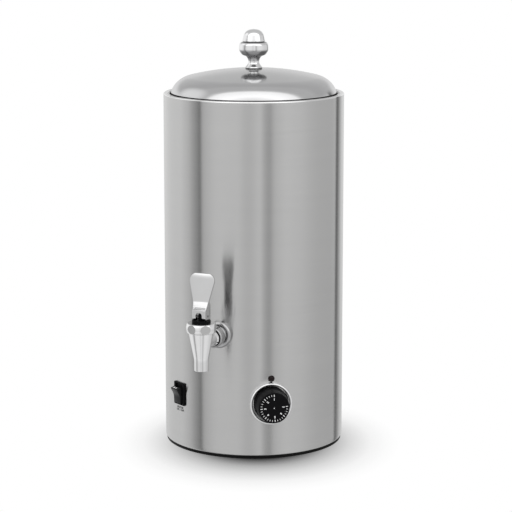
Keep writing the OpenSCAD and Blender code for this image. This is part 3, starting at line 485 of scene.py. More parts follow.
casing = dict(rim=490.0, rollR=2.0, base=4.0, bendR=2.0, flangeR=112.0, collarR=118.35)
casingHoles = [  # angle, height, half width, half height, how far out the cut starts
    (0, tapLevel, 9.3, 9.3, 100), (dialAngle, controlLevel, 6, 6, 100), (lampAngle, lampLevel, 3.2, 3.2, 100),
    (switchAngle, controlLevel, 11, 14.9, 100), (180, glandLevel, 8.1, 8.1, 100)]
edges = [h + s * e for _, h, _, e, _ in casingHoles for s in (-1, 1)]
wall = wallRows(casing["base"] + casing["bendR"], casing["rim"] - casing["rollR"], edges, 5.0)
casingLine = np.vstack([
    [[casing["flangeR"], casing["base"]]],
    arc(bodyR - casing["bendR"], casing["base"] + casing["bendR"], casing["bendR"], -90, 0, 6)[:-1],
    np.column_stack([np.full(len(wall), bodyR), wall]),
    arc(bodyR - casing["rollR"], casing["rim"] - casing["rollR"], casing["rollR"], 0, 90, 12)[1:],
    [[casing["collarR"], casing["rim"]]]])
sheetWall("casingSheet", casingLine, casingHoles, "shell", "casing_steel",
          ["casing_front", "casing_rear"], inward=False)

tank = dict(r=108.0, floor=151.0, bendR=5.0, seat=478.0, collarR=117.3, top=489.7, hole=9.4)
tankHole = (0, tapLevel, tank["hole"], tank["hole"], 100)
wall = wallRows(tank["floor"] + tank["bendR"], tank["seat"], [tapLevel - tank["hole"], tapLevel + tank["hole"]], 6.0)
tankLine = np.vstack([
    [[0.5, tank["floor"]], [60.0, tank["floor"]]],
    arc(tank["r"] - tank["bendR"], tank["floor"] + tank["bendR"], tank["bendR"], -90, 0, 8)[:-1],
    np.column_stack([np.full(len(wall), tank["r"]), wall]),
    [[tank["collarR"], tank["seat"]], [tank["collarR"], tank["top"]]]])
sheetWall("tankSheet", tankLine, [tankHole], "shell", "tank_steel", ["inner_tank"], inward=True, segments=360)
print("casing and tank done")


# Lid

lid = dict(r=116.4, top=523.0, crownR=390.0, shoulderR=33.0, skirt=478.3, holeR=3.1)
shoulderX = lid["r"] - lid["shoulderR"]
crownZ = lid["top"] - lid["crownR"]
shoulderZ = crownZ + math.sqrt((lid["crownR"] - lid["shoulderR"])**2 - shoulderX**2)
shoulderA = math.degrees(math.atan2(shoulderZ - crownZ, shoulderX))
holeA = math.degrees(math.acos(lid["holeR"] / lid["crownR"]))


def domeLine(inset):  # shoulder arc, then the crown's, both drawn in by inset
    return np.vstack([
        arc(shoulderX, shoulderZ, lid["shoulderR"] - inset, 0, shoulderA, 40),
        arc(0, crownZ, lid["crownR"] - inset, shoulderA, holeA, 40)[1:]])


lidLine = np.vstack([[[lid["r"], lid["skirt"] + 0.4], [lid["r"], lid["skirt"] + 1.0]], domeLine(0),
                     domeLine(sheet)[::-1],
                     [[lid["r"] - sheet, lid["skirt"] + 0.4], [lid["r"] - 0.5, lid["skirt"]]]])
newPiece("lidDome", [skin(turned(lidLine, 360), ring=True)], "lid", "lid_steel", ["lid_shell"])

shadowBand = dict(low=4.0, high=18.4, off=0.03, thick=0.35)  # dark band on the shoulder, just clear of it: painted shadow of the gap under the lid's edge
trimLine = np.vstack([
    arc(shoulderX, shoulderZ, lid["shoulderR"] + shadowBand["off"], shadowBand["low"], shadowBand["high"], 10),
    arc(shoulderX, shoulderZ, lid["shoulderR"] + shadowBand["off"] + shadowBand["thick"], shadowBand["high"], shadowBand["low"], 10)])
# a dark band standing in as painted shadow under the lid's edge
newPiece("lidShadowBand", [skin(turned(trimLine, 360), ring=True)], "lid", "black_rubber")

liner = dict(r=105.5, floor=464.0, flangeR=115.35, flange=479.0)
linerLine = softened([
    (0.4, liner["floor"]), (liner["r"], liner["floor"], 4), (liner["r"], liner["flange"], 1.2),
    (liner["flangeR"], liner["flange"]), (liner["flangeR"], liner["flange"] + sheet),
    (liner["r"] - sheet, liner["flange"] + sheet, 0.5),
    (liner["r"] - sheet, liner["floor"] + sheet, 3), (0.4, liner["floor"] + sheet)], 8)
newPiece("lidPan", [skin(turned(linerLine, 240), ring=True)], "lid", "tank_steel", ["lid_liner"])

lidKnob = dict(foot=523.0, height=54.0, r=20.3, boreR=3.0, bore=18.0)
knobBody = throughKnots([
    [0.579, 0], [0.579, 0.03], [0.48, 0.079], [0.39, 0.13], [0.37, 0.182], [0.4, 0.235], [0.473, 0.285],
    [0.56, 0.313], [0.72, 0.337], [0.824, 0.362], [0.92, 0.413], [0.985, 0.46], [1, 0.51], [0.99, 0.565],
    [0.965, 0.62], [0.9, 0.655], [0.8, 0.675], [0.7, 0.68]], 8)
knobCap = throughKnots([
    [0.7, 0.685], [0.76, 0.695], [0.745, 0.735], [0.705, 0.8], [0.655, 0.87], [0.575, 0.918], [0.45, 0.957],
    [0.29, 0.984], [0.02, 1]], 8)
knobLine = np.vstack([knobBody, knobCap]) * [lidKnob["r"], lidKnob["height"]] + [0, lidKnob["foot"]]
boreLine = [[0.2, lidKnob["foot"] + lidKnob["bore"]], [lidKnob["boreR"], lidKnob["foot"] + lidKnob["bore"]],
            [lidKnob["boreR"], lidKnob["foot"]]]
newPiece("lidHandle", [skin(turned(np.vstack([boreLine, knobLine]), 160), fan=True)], "lid",
         "knob_chrome", ["lid_knob"], sharp=50)
print("lid done")


# Dial, its ring, and the lamp over it

dial = dict(baseR=23.8, faceR=21.2, base=129.0, face=155.5, edge=1.5, wall=2.4)
dialPlace = onWall(dialAngle, controlLevel)
dialLine = softened([
    (3.05, dial["base"] + 2), (6.5, dial["base"] + 2), (6.5, dial["face"] - 3),
    (dial["faceR"] - dial["wall"], dial["face"] - 3, 1), (dial["baseR"] - dial["wall"], dial["base"]),
    (dial["baseR"], dial["base"], 0.4), (dial["faceR"], dial["face"], dial["edge"]), (2.0, dial["face"])], 8)
dialLine = np.vstack([[[0.3, dial["face"] - 5], [3.05, dial["face"] - 5]], dialLine, [[0.3, dial["face"]]]])
newPiece("dialKnob", placed(skin(turned(dialLine, 200), fan=True), dialPlace), "dial", "dial_plastic",
         ["thermostat_knob"])

scale = dict(numbers=7, spread=276.0, minor=3, outer=18.9, major=3.0, minorLong=2.4, majorWide=1.0,
             minorWide=0.65, digitR=12.2, digitHigh=2.8, dotR=0.75, depth=0.12)
ticks = np.arange((scale["numbers"] - 1) * (scale["minor"] + 1) + 1)
turns = np.pi / 2 + np.radians(scale["spread"]) * ticks / ticks[-1]
isMajor = ticks % (scale["minor"] + 1) == 0
length = np.where(isMajor, scale["major"], scale["minorLong"])
width = np.where(isMajor, scale["majorWide"], scale["minorWide"])
radius = scale["outer"] - length / 2
tickMarks = bars(np.column_stack([radius * np.cos(turns), radius * np.sin(turns)]), turns,
                 np.column_stack([length, width]), scale["depth"])
dotMark = skin(turned(np.array([[scale["dotR"], -0.06], [scale["dotR"], 0.03], [scale["dotR"] - 0.1, 0.06]]), 32),
               fan=True)
marks = [tickMarks, dotMark]
for number, turn in enumerate(turns[isMajor]):
    spots, faces = letters(str(number + 1), scale["digitHigh"], scale["depth"], bold=0.2)
    a = turn - np.pi / 2
    across = spots[:, 0] * math.cos(a) - spots[:, 1] * math.sin(a) + scale["digitR"] * math.cos(turn)
    up = spots[:, 0] * math.sin(a) + spots[:, 1] * math.cos(a) + scale["digitR"] * math.sin(turn)
    marks.append((np.column_stack([across, up, spots[:, 2]]), faces))
newPiece("dialScale", [(dialPlace(s + [0, 0, dial["face"]]), f) for s, f in marks], "dial", "dial_plastic",
         material=whitePrint)

bezel = dict(r=28.9, wall=3.2, out=134.0, edge=1.24)
bezelLine = softened([(bezel["r"], 110), (bezel["r"], bezel["out"], bezel["edge"]),
                      (bezel["r"] - bezel["wall"], bezel["out"], bezel["edge"]), (bezel["r"] - bezel["wall"], 110)], 8)
newPiece("dialRing", placed(skin(seated(turned(bezelLine, 240)), ring=True), dialPlace), "shell", "chrome_plate",
         ["dial_bezel"], paintedHighlightChrome)

lamp = dict(flangeR=4.4, r=3.8, flange=1.0, dome=2.0)
lampDome = (lamp["r"]**2 + lamp["dome"]**2) / (2 * lamp["dome"])
domeEnd = math.degrees(math.asin((lampDome - lamp["dome"]) / lampDome))
lampTop = bodyR + wallGap + lamp["flange"]
lampLine = np.vstack([
    softened([(0.3, 120), (lamp["flangeR"], 120), (lamp["flangeR"], lampTop, 0.35), (lamp["r"], lampTop)]),
    arc(0, lampTop + lamp["dome"] - lampDome, lampDome, domeEnd, 88, 14)])
newPiece("lampLens", placed(skin(seated(turned(lampLine, 64)), fan=True), onWall(lampAngle, lampLevel)), "shell",
         "smoked_lens", ["indicator_lens"])
print("dial and lamp done")


# Rocker switch: each ring of the housing is a rounded rectangle at its own depth

switch = dict(halfW=12.3, halfH=16.0, front=127.2, edge=0.7, corner=1.6, bodyHalfW=10.8, bodyHalfH=14.8, back=100.0,
              pocketHalfW=8.6, pocketHalfH=14.2, pocket=112.0)
switchPlace = onWall(switchAngle, controlLevel)
t = np.radians(np.linspace(0, 90, 6))
lipIn, lipOut = switch["edge"] * (1 - np.cos(t)), switch["front"] - switch["edge"] * (1 - np.sin(t))
steps = [(switch["bodyHalfW"], switch["bodyHalfH"], 0.8, switch["back"]),
         (switch["bodyHalfW"], switch["bodyHalfH"], 0.8, 118.0),
         (switch["halfW"], switch["halfH"], switch["corner"], 118.5)]
steps += [(switch["halfW"] - i, switch["halfH"] - i, switch["corner"] - i * 0.6, n) for i, n in zip(lipIn, lipOut)]
steps += [(switch["pocketHalfW"] + 0.4, switch["pocketHalfH"] + 0.4, 1.2, switch["front"]),
          (switch["pocketHalfW"], switch["pocketHalfH"], 0.9, switch["front"] - 0.4),
          (switch["pocketHalfW"], switch["pocketHalfH"], 0.9, switch["pocket"])]
rings = np.stack([np.pad(roundedBox(w, h, c), ((0, 0), (0, 1)), constant_values=n) for w, h, c, n in steps])
# the back of the flange, behind 119, comes out to the wall, and so does the body's last ring
rings[2:] = np.where(rings[2:, :, 2:] < 119, seated(rings[2:]), rings[2:])
rings[1, :, 2] = np.sqrt((bodyR + wallGap)**2 - rings[1, :, 0]**2)
newPiece("switchCase", placed(skin(rings, fan=True), switchPlace), "shell", "black_plastic", ["switch_housing"])

rocker = dict(pivot=124.0, halfL=11.0, endH=9.2, midH=6.8, footH=3.0, footL=7.0, halfW=8.2, tip=16.0)
rockerLine = softened([
    (rocker["halfL"], rocker["endH"], 0.8), (0, rocker["midH"], 14), (-rocker["halfL"], rocker["endH"], 0.8),
    (-rocker["halfL"], rocker["footH"], 1), (-rocker["footL"], -rocker["footH"], 1),
    (rocker["footL"], -rocker["footH"], 1), (rocker["halfL"], rocker["footH"], 1)], 8)
tip = math.radians(rocker["tip"])


def onRocker(points):  # (up, out, across) of the rocker at rest, tipped about its pivot
    up = points[..., 0] * math.cos(tip) - points[..., 1] * math.sin(tip)
    out = points[..., 0] * math.sin(tip) + points[..., 1] * math.cos(tip) + rocker["pivot"]
    return switchPlace(np.stack([points[..., 2], up, out], axis=-1))


newPiece("switchRocker", placed(skin(slab(rockerLine, rocker["halfW"], 0.7), fan=True), onRocker), "rocker",
         "rocker_plastic", ["switch_rocker"])

# two bars on the rocker's end face
spots, faces = bars(np.array([[-2.2, 6.2], [2.3, 6.2]]), np.zeros(2), np.array([[3.0, 3.2], [1.6, 3.2]]), 0.2)
spots = np.column_stack([rocker["halfL"] + spots[:, 2], spots[:, 1], spots[:, 0]])
newPiece("switchMarks", [(onRocker(spots), faces)], "rocker", "rocker_plastic", material=whitePrint)

words = []
for text, height in (("HEATER", 58.9), ("ON / OFF", 55.2)):
    spots, faces = letters(text, 2.6, 0.12, bold=0.22, spacing=1.2)
    out = np.sqrt(bodyR**2 - spots[:, 0]**2) + spots[:, 2]
    words.append((onWall(switchAngle, height)(np.column_stack([spots[:, :2], out])), faces))
newPiece("switchWords", words, "shell", "casing_steel", material=darkPrint)
print("switch done")


# Tap

tapPlace = onWall(0, tapLevel)


def overTap(points):
    return points + np.array([0, tapY, 0])


escutcheonLine = softened([
    (9.1, 110), (18.5, 110), (18.5, 133.0, 3.2), (10.6, 133.0, 0.4), (10.6, 128), (9.1, 128)], 10)
newPiece("tapFlange", placed(skin(seated(turned(escutcheonLine, 180)), ring=True), tapPlace), "shell",
         "chrome_plate", ["tap_escutcheon"], roughChromePaintedShade)

shank = dict(boreR=6.0, r=9.0, frontR=10.5, inner=90.0, shoulder=128.0, end=145.0, pitch=1.5, groove=0.35,
             rows=150)
threadRows = np.linspace(shank["shoulder"], shank["end"], shank["rows"])
shankLine = np.vstack([
    [[shank["boreR"], shank["inner"]], [shank["r"] - 0.5, shank["inner"]], [shank["r"], shank["inner"] + 0.5],
     [shank["r"], shank["shoulder"]]],
    np.column_stack([np.full(shank["rows"], shank["frontR"]), threadRows]), [[shank["boreR"], shank["end"]]]])
grid = turned(shankLine, 120)
turn = np.arctan2(grid[..., 1], grid[..., 0]) / (2 * np.pi)
wave = np.abs(((grid[..., 2] - shank["shoulder"]) / shank["pitch"] - turn) % 1 * 2 - 1)
threaded = np.hypot(grid[..., 0], grid[..., 1]) > shank["frontR"] - 0.1
cut = np.where(threaded, 1 - wave * shank["groove"] / shank["frontR"], 1)
grid[..., :2] *= cut[..., None]  # a triangle wave along the axis that climbs one pitch each turn
newPiece("tapShank", placed(skin(grid, ring=True), tapPlace), "shell", "chrome_plate", ["tap_shank"])

unionLine = softened([(10.6, 138), (14, 138, 1.5), (14, 152, 1.5), (11.95, 152, 0.3), (11.95, 150.5), (8.2, 150.5),
                      (8.2, 148.6), (10.6, 148.6)], 8)
newPiece("tapUnion", placed(skin(turned(unionLine, 180), ring=True), tapPlace), "shell", "chrome_plate",
         ["union_nut"], roughChromePaintedShade)

gasketLine = softened([(7.55, 150.55), (11.9, 150.55), (11.9, 153.2, 0.6), (7.55, 153.2, 0.4)], 5)
newPiece("tapGasket", placed(skin(turned(gasketLine, 120), ring=True), tapPlace), "shell", "black_rubber",
         ["tap_gasket"])

spoutLine = softened([
    (6.5, 137, 0.4), (9.7, 137, 0.6), (9.7, 151.5, 40), (17, 189), (14.5, 189), (14.5, 195), (12.6, 195), (12.6, 187),
    (9, 166), (6.5, 166)], 12)
neckLine = softened([
    (7.55, 153.25), (11.1, 153.25, 0.3), (11.1, 154.6, 0.4), (9.6, 157.5, 2), (9.6, 176.0), (7.55, 176.0)])
spout = placed(skin(turned(spoutLine, 180), ring=True), overTap)
neck = placed(skin(turned(neckLine, 120), ring=True), tapPlace)
newPiece("tapSpout", spout + neck, "shell", "chrome_plate", ["tap_body"])

tailLine = softened([
    (5.5, 146.4), (10.4, 146.4, 0.3), (10.4, 148.5, 0.3), (7.5, 148.5), (7.5, 167.25, 0.3), (5.5, 167.25)])
newPiece("tapTail", placed(skin(turned(tailLine, 120), ring=True), tapPlace), "shell", "chrome_plate", ["tap_tail"])

# bonnet: the radius is the smaller of the turned outline's and that of a hexagon, apothem / cos(angle off the flat)
bonnet = dict(r=20.3, bulge=1.5, apothem=19.076, flat=10.0, low=189.0, high=202.0, dull=0.56)
t = np.linspace(-1, 1, 33)
barrel = np.column_stack([bonnet["r"] - bonnet["bulge"] * t**2,
                          bonnet["low"] + (bonnet["high"] - bonnet["low"]) * (1 + t) / 2])
barrel[0] -= [0.4, 0]
barrel[-1] -= [0.4, 0]
bonnetLine = np.vstack([
    [[14.55, bonnet["low"]]], barrel,
    [[9.45, bonnet["high"]], [9.45, bonnet["low"] + 6.05], [14.55, bonnet["low"] + 6.05]]])
grid = turned(bonnetLine, 540)
angle = np.degrees(np.arctan2(grid[..., 1], grid[..., 0]))
offFlat = (angle - bonnet["flat"] + 30) % 60 - 30
reach = np.hypot(grid[..., 0], grid[..., 1])
limit = bonnet["apothem"] / np.cos(np.radians(offFlat))
grid[..., :2] *= np.minimum(1, limit / reach)[..., None]


# plated, but dull on top and on the spanner flats, where reach x cos(angle off the flat) is the apothem
def milled(tree):
    plate = chromed(0.86, 0.06)(tree)
    x, y = tree.along(0), tree.along(1) - tapY * mm
    bearing = tree.worked("ARCTAN2", y, x) - math.radians(bonnet["flat"])
    off = tree.worked("PINGPONG", bearing, math.radians(30))
    across = tree.worked("SQRT", x * x + y * y) * tree.worked("COSINE", off)
    flat = smooth(tree, across, (bonnet["apothem"] - 0.1) * mm, (bonnet["apothem"] - 0.02) * mm)
    dull = tree.worked("MAXIMUM", flat, smooth(tree, tree.slope(), 0.9, 0.97))
    plate["Base Color"] = tree.blend(dull, plate["Base Color"], rgb(bonnet["dull"]))
    plate["Roughness"] = plate["Roughness"] + dull * 0.25
    return plate


newPiece("tapBonnet", placed(skin(grid, ring=True), overTap), "shell", "chrome_plate", ["tap_bonnet"],
         finish("milled plate", milled))

guideLine = softened([(4.05, 193), (9.4, 193), (9.4, 202), (12.6, 202), (12.6, 206, 0.8), (4.05, 206, 0.5)])
newPiece("tapGuide", placed(skin(turned(guideLine, 120), ring=True), overTap), "shell", "black_plastic",
         ["stem_guide"])

stemLine = np.vstack([[[0.2, 170.05], [3, 170.05], [3, 177.05], [4, 177.05]], arc(0, 211.5, 4, 0, 87, 16)])
newPiece("tapStem", placed(skin(turned(stemLine, 80), fan=True), overTap), "stem", "black_plastic", ["tap_stem"])

# Lever: distances forward of the pin and up from it
lever = dict(pin=211.5, halfW=9.6, front=8.8, heelR=5.3, heel=3.5, wallTop=8.6, footFwd=2.5, foot=16.1, footHalf=10.3,
             top=57.0, lean=7.0, thick=3.0, sheet=2.6, paddleHalf=17.5, wide=46.0, corner=10.5, slotHalf=4.5,
             slotMid=1.3, edge=0.5, bend=18.0, crease=11.3, creaseDeep=1.5, creaseWide=0.8)


def leverPlace(points):  # (forward, up, across) from the pin
    return points @ np.array([[0, -1, 0], [0, 0, 1], [1, 0, 0]]) + np.array([0, tapY, lever["pin"]])


def leverFront(along):  # forward and up along the front wall: round the heel below 0, straight above it
    turn = np.minimum(along, 0) / lever["heelR"]
    return (lever["heel"] + lever["heelR"] * np.cos(turn), lever["heelR"] * np.sin(turn) + np.maximum(along, 0))


# front wall: each point runs straight from the slot's outline to the wall's own, on the unrolled wall
low, rows = -lever["heelR"] * math.pi / 2, 12
t = np.linspace(0, np.pi, 41)
inner = np.vstack([
    np.column_stack([np.full(rows, lever["slotHalf"]), np.linspace(low, lever["slotMid"], rows, endpoint=False)]),
    np.column_stack([lever["slotHalf"] * np.cos(t), lever["slotMid"] + lever["slotHalf"] * np.sin(t)]),
    np.column_stack([np.full(rows, -lever["slotHalf"]), np.linspace(lever["slotMid"], low, rows + 1)[1:]])])
square = np.maximum(np.abs(np.cos(t)), np.abs(np.sin(t)))
outer = np.vstack([
    np.column_stack([np.full(rows, lever["halfW"] - 0.05), inner[:rows, 1]]),
    np.column_stack([(lever["halfW"] - 0.05) * np.cos(t) / square,
                     lever["slotMid"] + (lever["wallTop"] - lever["slotMid"]) * np.sin(t) / square]),
    np.column_stack([np.full(rows, 0.05 - lever["halfW"]), inner[-rows:, 1]])])
share = np.linspace(0, 1, 9)[:, None, None]
flat = inner[None] * (1 - share) + outer[None] * share
forward, up = leverFront(flat[..., 1])
wallFront = np.stack([forward, up, flat[..., 0]], axis=-1)
turn = np.minimum(flat[..., 1], 0) / lever["heelR"]
wallBack = wallFront - lever["sheet"] * np.stack([np.cos(turn), np.sin(turn), 0 * turn], axis=-1)
wallParts = skin(np.concatenate([wallFront, wallBack[::-1]]), wrap=False, ring=True, ends=True)

# ledge and paddle: cross-sections with rounded edges, carried up the leaning path
bends = 16  # steps round each bend
leanStep = lever["lean"] / (lever["top"] - lever["foot"])
path = softened([
    (lever["front"] - 0.04, lever["wallTop"] - 0.6), (lever["front"], lever["wallTop"], 0.5),
    (lever["footFwd"], lever["foot"], lever["bend"]), (lever["footFwd"] - lever["lean"], lever["top"])], bends)
ledge = np.linspace(path[bends + 1], path[bends + 2], 30)[1:-1]
straight = np.linspace(path[-2], path[-1], 60)[1:-1]
path = np.vstack([path[:bends + 2], ledge, path[bends + 2:-1], straight, path[-1:]])
half = np.interp(path[:, 1], [lever[k] for k in ("wallTop", "foot", "wide")],
                 [lever[k] for k in ("halfW", "footHalf", "paddleHalf")])
above = np.clip((path[:, 1] - (lever["top"] - lever["corner"])) / lever["corner"], 0, 1)
half = half - lever["corner"] * (1 - np.sqrt(1 - above**2))
slopes = np.gradient(path, axis=0)
slopes /= np.linalg.norm(slopes, axis=1)[:, None]
back = np.stack([-slopes[:, 1], slopes[:, 0]], axis=1)
nearTop = np.clip((path[:, 1] - lever["top"] + 0.5) / 0.5, 0, 1)
thick = lever["thick"] - 2 * lever["edge"] * (1 - np.sqrt(1 - nearTop**2))
section = roundedBox(1.0, 1.0, 0.5, 5)
corners = np.sign(section)
inset = section - corners * 0.5  # within the corner's own arc, from -0.5 to 0.5
acrossAt = corners[None, :, 0] * (half[:, None] - lever["edge"]) + inset[None, :, 0] * 2 * lever["edge"]
depthAt = (1 - corners[None, :, 1]) / 2 * (thick[:, None] - 2 * lever["edge"]) + lever["edge"]
depthAt = depthAt - inset[None, :, 1] * 2 * lever["edge"]
crease = lever["creaseDeep"] * np.exp(-((path[:, 1:] - lever["crease"]) / lever["creaseWide"])**2)
depthAt = depthAt + (lever["thick"] - thick[:, None]) / 2 + crease * (corners[None, :, 1] > 0)
paddle = np.stack([path[:, :1] + back[:, :1] * depthAt, path[:, 1:] + back[:, 1:] * depthAt, acrossAt], axis=-1)

# cheeks: flat gussets from the heel up to the paddle's back
backAt = lever["footFwd"] - lever["thick"] / 2
cheekLine = softened([
    (-8.8, 14.5, 1.0), (-8.8, -5.0, 0.6), (8.5, -5.0, lever["heelR"] - 0.3), (8.5, lever["wallTop"]),
    (lever["footFwd"] - 0.2, lever["foot"] - 0.2), (backAt - leanStep * 3, lever["foot"] + 3),
    (backAt - leanStep * (25 - lever["foot"]), 25.0)], 10)
cheeks = []
for side in (-1, 1):
    grid = slab(cheekLine, lever["sheet"] / 2, 0.4)
    grid[..., 2] += side * (lever["halfW"] - lever["sheet"] / 2)
    cheeks.append(skin(grid, fan=True))
leverParts = [wallParts, skin(paddle, fan=True), *cheeks]
newPiece("tapLever", [(leverPlace(s), f) for s, f in leverParts], "lever", "lever_chrome", ["tap_lever"])

# return spring: a wire in rings about a helix, the rings square to its run
coil = dict(r=6.3, wire=0.58, inset=0.6, turns=5, steps=40, sides=10, travel=2.6)
coilLow, coilHigh = (corner.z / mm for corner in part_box("tap_spring"))
turn = np.linspace(0, 2 * math.pi * coil["turns"], coil["turns"] * coil["steps"] + 1)
away = np.stack([np.cos(turn), np.sin(turn), 0 * turn], axis=1)
helix = away * coil["r"] + [0, tapY, 0]
helix[:, 2] = np.linspace(coilLow + coil["inset"], coilHigh - coil["inset"], len(turn))
run = np.gradient(helix, axis=0)
over = np.cross(away, run / np.linalg.norm(run, axis=1, keepdims=True))
ring = np.linspace(0, 2 * math.pi, coil["sides"], endpoint=False)[:, None]
wire = helix[:, None] + coil["wire"] * (away[:, None] * np.cos(ring) + over[:, None] * np.sin(ring))
spring = newPiece("tapCoil", [skin(wire, fan=True)], "shell", "fastener_steel", ["tap_spring"])
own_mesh(spring)
print("tap done")


# Cord gland at the back: a cap ribbed on its side, radius = line's x (1 - rib x (0.5 + 0.5 cos(ribs a))), over
# a hexagon of apothem / cos(angle off the flat)

gland = dict(ribs=18, rib=0.045, ribLow=131.5, ribHigh=139.6, ribR=7.0, hexLow=124.9, hexHigh=131.01, hexR=10.6,
             apothem=11.1)
glandLine = softened([
    (4, 110), (8, 110), (8, 124.5), (8, 125), (12, 125.05), (12, 131, 0.6), (10.5, 131, 0.2), (10.2, 131.9),
    (8.7, 139.2), (8.5, 140, 0.5), (4, 140, 0.8)], 5)
grid = turned(glandLine, 216)
angle = np.arctan2(grid[..., 1], grid[..., 0])
level, reach = grid[..., 2], np.hypot(grid[..., 0], grid[..., 1])
ribbed = (level > gland["ribLow"]) & (level < gland["ribHigh"]) & (reach > gland["ribR"])
grid[..., :2] *= np.where(ribbed, 1 - gland["rib"] * (0.5 + 0.5 * np.cos(gland["ribs"] * angle)), 1)[..., None]
reach = np.hypot(grid[..., 0], grid[..., 1])
hexed = (level > gland["hexLow"]) & (level < gland["hexHigh"]) & (reach > gland["hexR"])
flatAt = gland["apothem"] / np.cos((angle + np.pi / 6) % (np.pi / 3) - np.pi / 6)
grid[..., :2] *= np.where(hexed, np.minimum(1, flatAt / reach), 1)[..., None]
wall = np.sqrt((bodyR + wallGap)**2 - grid[..., 0]**2)
grid[..., 2] = np.where(hexed & (level < 126), wall, level)  # the hexagon's back comes out to the wall
newPiece("cordGland", placed(skin(grid, ring=True), onWall(180, glandLevel)), "shell", "black_plastic", ["cord_gland"])
print("gland done")


# Stage: a floor whose painted soft shadow clears into the white background, light all round, and the camera

shot = dict(azimuth=21.7, distance=2.7883, height=0.7858, pitch=10.698, yaw=0.0011, lens=141.95)
shadow = dict(  # brightness of the floor by distance from the shadow's middle, in shares of its outer ellipse
    across=0.20, along=0.248, forward=0.030, right=0.005, dark=0.03,
    fall=[(0.38, 0.02), (0.42, 0.13), (0.462, 0.25), (0.518, 0.42), (0.575, 0.54), (0.651, 0.69), (0.728, 0.80),
          (0.804, 0.90), (0.917, 0.97), (1, 1)])


def stageFloor(radius, sides=96):
    ringsR = np.linspace(0.02, 1, 24)[:, None]**1.5 * radius
    a = np.linspace(0, 2 * np.pi, sides, endpoint=False)
    grid = np.stack([ringsR * np.cos(a), ringsR * np.sin(a), 0 * ringsR + 0 * a - 0.0002], axis=-1)
    spots, faces = skin(grid)
    faces.append(list(range(sides - 1, -1, -1)))
    mesh = bpy.data.meshes.new("floor")
    mesh.from_pydata(spots.tolist(), [], faces)
    floor = linked("floor", mesh)
    material = bpy.data.materials.new("pale floor")
    tree = Tree(material)
    where = tree.node("ShaderNodeTexCoord", output="Object")
    turn = math.radians(shot["azimuth"])
    middle = np.array([math.cos(turn), math.sin(turn)]) * shadow["right"]
    middle += np.array([math.sin(turn), -math.cos(turn)]) * shadow["forward"]
    laid = tree.node("ShaderNodeMapping", {"vector_type": "TEXTURE"}, {
        "Vector": where, "Rotation": (0, 0, turn), "Location": (*middle, 0),
        "Scale": (shadow["across"], shadow["along"], 1)})
    away = tree.node("ShaderNodeVectorMath", {"operation": "LENGTH"}, {0: laid}, "Value")
    fade = tree.ramp(shadow["fall"], away)
    speck = tree.grain(300.0, 2.0)
    seen = tree.node("ShaderNodeLightPath", output="Is Camera Ray")
    shade = tree.blend(seen, tree.blend(speck, rgb(0.90), rgb(0.94)), rgb(shadow["dark"]))
    matt = tree.node("ShaderNodeBsdfDiffuse", inputs={"Color": shade})
    clear = tree.node("ShaderNodeBsdfTransparent")
    mixed = tree.node("ShaderNodeMixShader", inputs={0: fade * seen, 1: matt, 2: clear})
    tree.node("ShaderNodeOutputMaterial", inputs={"Surface": mixed})
    mesh.materials.append(material)
    floor.visible_glossy = False


stageFloor(1.6)

studio = dict(  # brightness met by a glossy ray, by azimuth from -180 to 180 degrees about the photo's view
    bands=[(-180, 0.70), (-150, 0.95), (-107, 0.98), (-99, 0.88), (-91, 0.78), (-84, 0.57), (-76, 0.39), (-71.6, 0.22),
           (-69.8, 0.66), (-66, 0.75), (-50, 0.88), (-20, 0.88), (-9, 0.77), (-3, 0.78), (4, 0.86), (8.5, 0.90),
           (12, 0.72), (16, 0.58), (21.5, 0.52), (24.5, 0.71), (29, 0.80), (42, 0.89), (65, 0.85), (90, 0.74),
           (120, 0.70), (128.4, 0.80), (131, 0.13), (135, 0.19), (142, 0.56), (153, 0.9), (180, 0.70)],
    view=shot["azimuth"], rise=10.0, soft=0.92,
    # share of the bands left, by height of the ray
    below=[(-1, 0.4), (-0.7, 0.9), (-0.5, 1.0), (-0.36, 0.9), (-0.26, 0.86), (-0.12, 1.0), (0, 1.03)],
    # higher up, by cosine of the angle from the fixed direction of view and rise
    upper=[(-1, 0.66), (-0.8, 0.65), (-0.55, 0.61), (-0.35, 0.58), (-0.2, 0.59), (-0.05, 0.66), (0.1, 0.65),
           (0.27, 0.68), (0.34, 0.88), (0.41, 1.45), (0.6, 1.6), (0.75, 1.75), (1, 1.0)],
    # a lit card on the left, above what the casing reflects
    side=dict(turn=-106.0, rise=24.0, low=0.87, high=0.99, light=1.1),
    horizon=(0.16, 0.34))  # heights of the ray between which the bands give way to what is higher up
world = bpy.data.worlds.new("studio")
bpy.context.scene.world = world
tree = Tree(world)
ray = tree.node("ShaderNodeTexCoord", output="Generated")
flat = tree.node("ShaderNodeSeparateXYZ", inputs={0: ray})
x, y, z = (Wire(tree, flat.socket.node.outputs[i]) for i in range(3))
azimuth = tree.worked("ARCTAN2", x, y * -1)  # 0 at the front, to the right
around = tree.worked("FRACT", azimuth / (2 * math.pi) + (0.5 - studio["view"] / 360))
bandRamp = tree.ramp([((a + 180) / 360, v) for a, v in studio["bands"]], around)


def towards(turn, rise):  # cosine of the ray's angle from a direction, in degrees from the front and up
    a, e = math.radians(turn), math.radians(rise)
    aim = (math.sin(a) * math.cos(e), -math.cos(a) * math.cos(e), math.sin(e))
    return tree.node("ShaderNodeVectorMath", {"operation": "DOT_PRODUCT"}, {0: ray, 1: aim}, "Value")


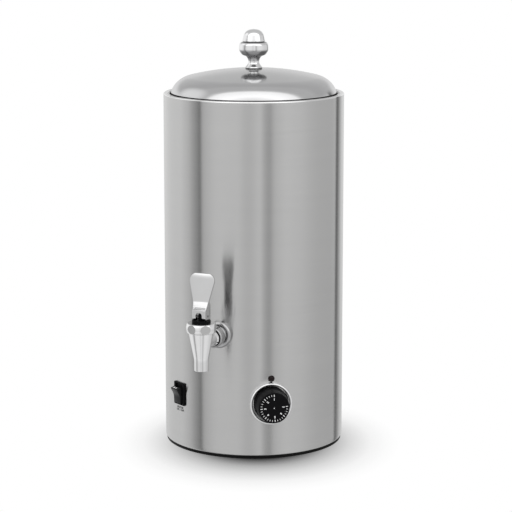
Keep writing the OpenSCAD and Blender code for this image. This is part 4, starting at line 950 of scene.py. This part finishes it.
facing = towards(studio["view"], studio["rise"])
upper = tree.ramp([((c + 1) / 2, v) for c, v in studio["upper"]], facing * 0.5 + 0.5)
belowRamp = tree.ramp([(h + 1, v) for h, v in studio["below"]], z + 1)
dimmed = tree.node("ShaderNodeMix", {"data_type": "RGBA", "blend_type": "MULTIPLY"},
                   {0: 1.0, 6: bandRamp, 7: belowRamp}, 2)
card = studio["side"]
near = towards(studio["view"] + card["turn"], card["rise"])
upper = tree.blend(smooth(tree, near, card["low"], card["high"]), upper, rgb(card["light"]))
glossy = tree.blend(smooth(tree, z, *studio["horizon"]), dimmed, upper)
path = tree.node("ShaderNodeLightPath")
cameraRay, glossyRay, clearRay = (Wire(tree, path.socket.node.outputs[n]) for n in
                                  ("Is Camera Ray", "Is Glossy Ray", "Is Transmission Ray"))
lit = tree.blend(glossyRay, rgb(studio["soft"]), glossy)
seen = tree.blend(cameraRay + clearRay, lit, rgb(1.0))
tree.node("ShaderNodeOutputWorld", inputs={"Surface": tree.node("ShaderNodeBackground", inputs={"Color": seen})})


def softbox(name, place, aim, size, power):
    light = bpy.data.lights.new(name, "AREA")
    light.shape, light.size, light.size_y, light.energy = "RECTANGLE", size[0], size[1], power
    holder = linked(name, light)
    holder.location, holder.visible_glossy = place, False
    direction = np.array(aim) - np.array(place)
    flatRun = math.hypot(direction[0], direction[1])
    holder.rotation_euler = (math.atan2(flatRun, -direction[2]), 0, math.atan2(-direction[0], direction[1]))


softbox("overhead box", (-0.3, -0.9, 1.9), (0, 0, 0.25), (1.2, 0.8), 5.0)

camera = linked("camera", bpy.data.cameras.new("camera"))
a = math.radians(shot["azimuth"])
camera.location = (shot["distance"] * math.sin(a), -shot["distance"] * math.cos(a), shot["height"])
camera.rotation_euler = (math.radians(90 - shot["pitch"]), 0, a - shot["yaw"])
camera.data.lens, camera.data.sensor_width = shot["lens"], 36.0
camera.data.clip_end = 50.0
bpy.context.scene.camera = camera
bpy.context.scene.view_settings.view_transform = "Standard"
print("stage done")
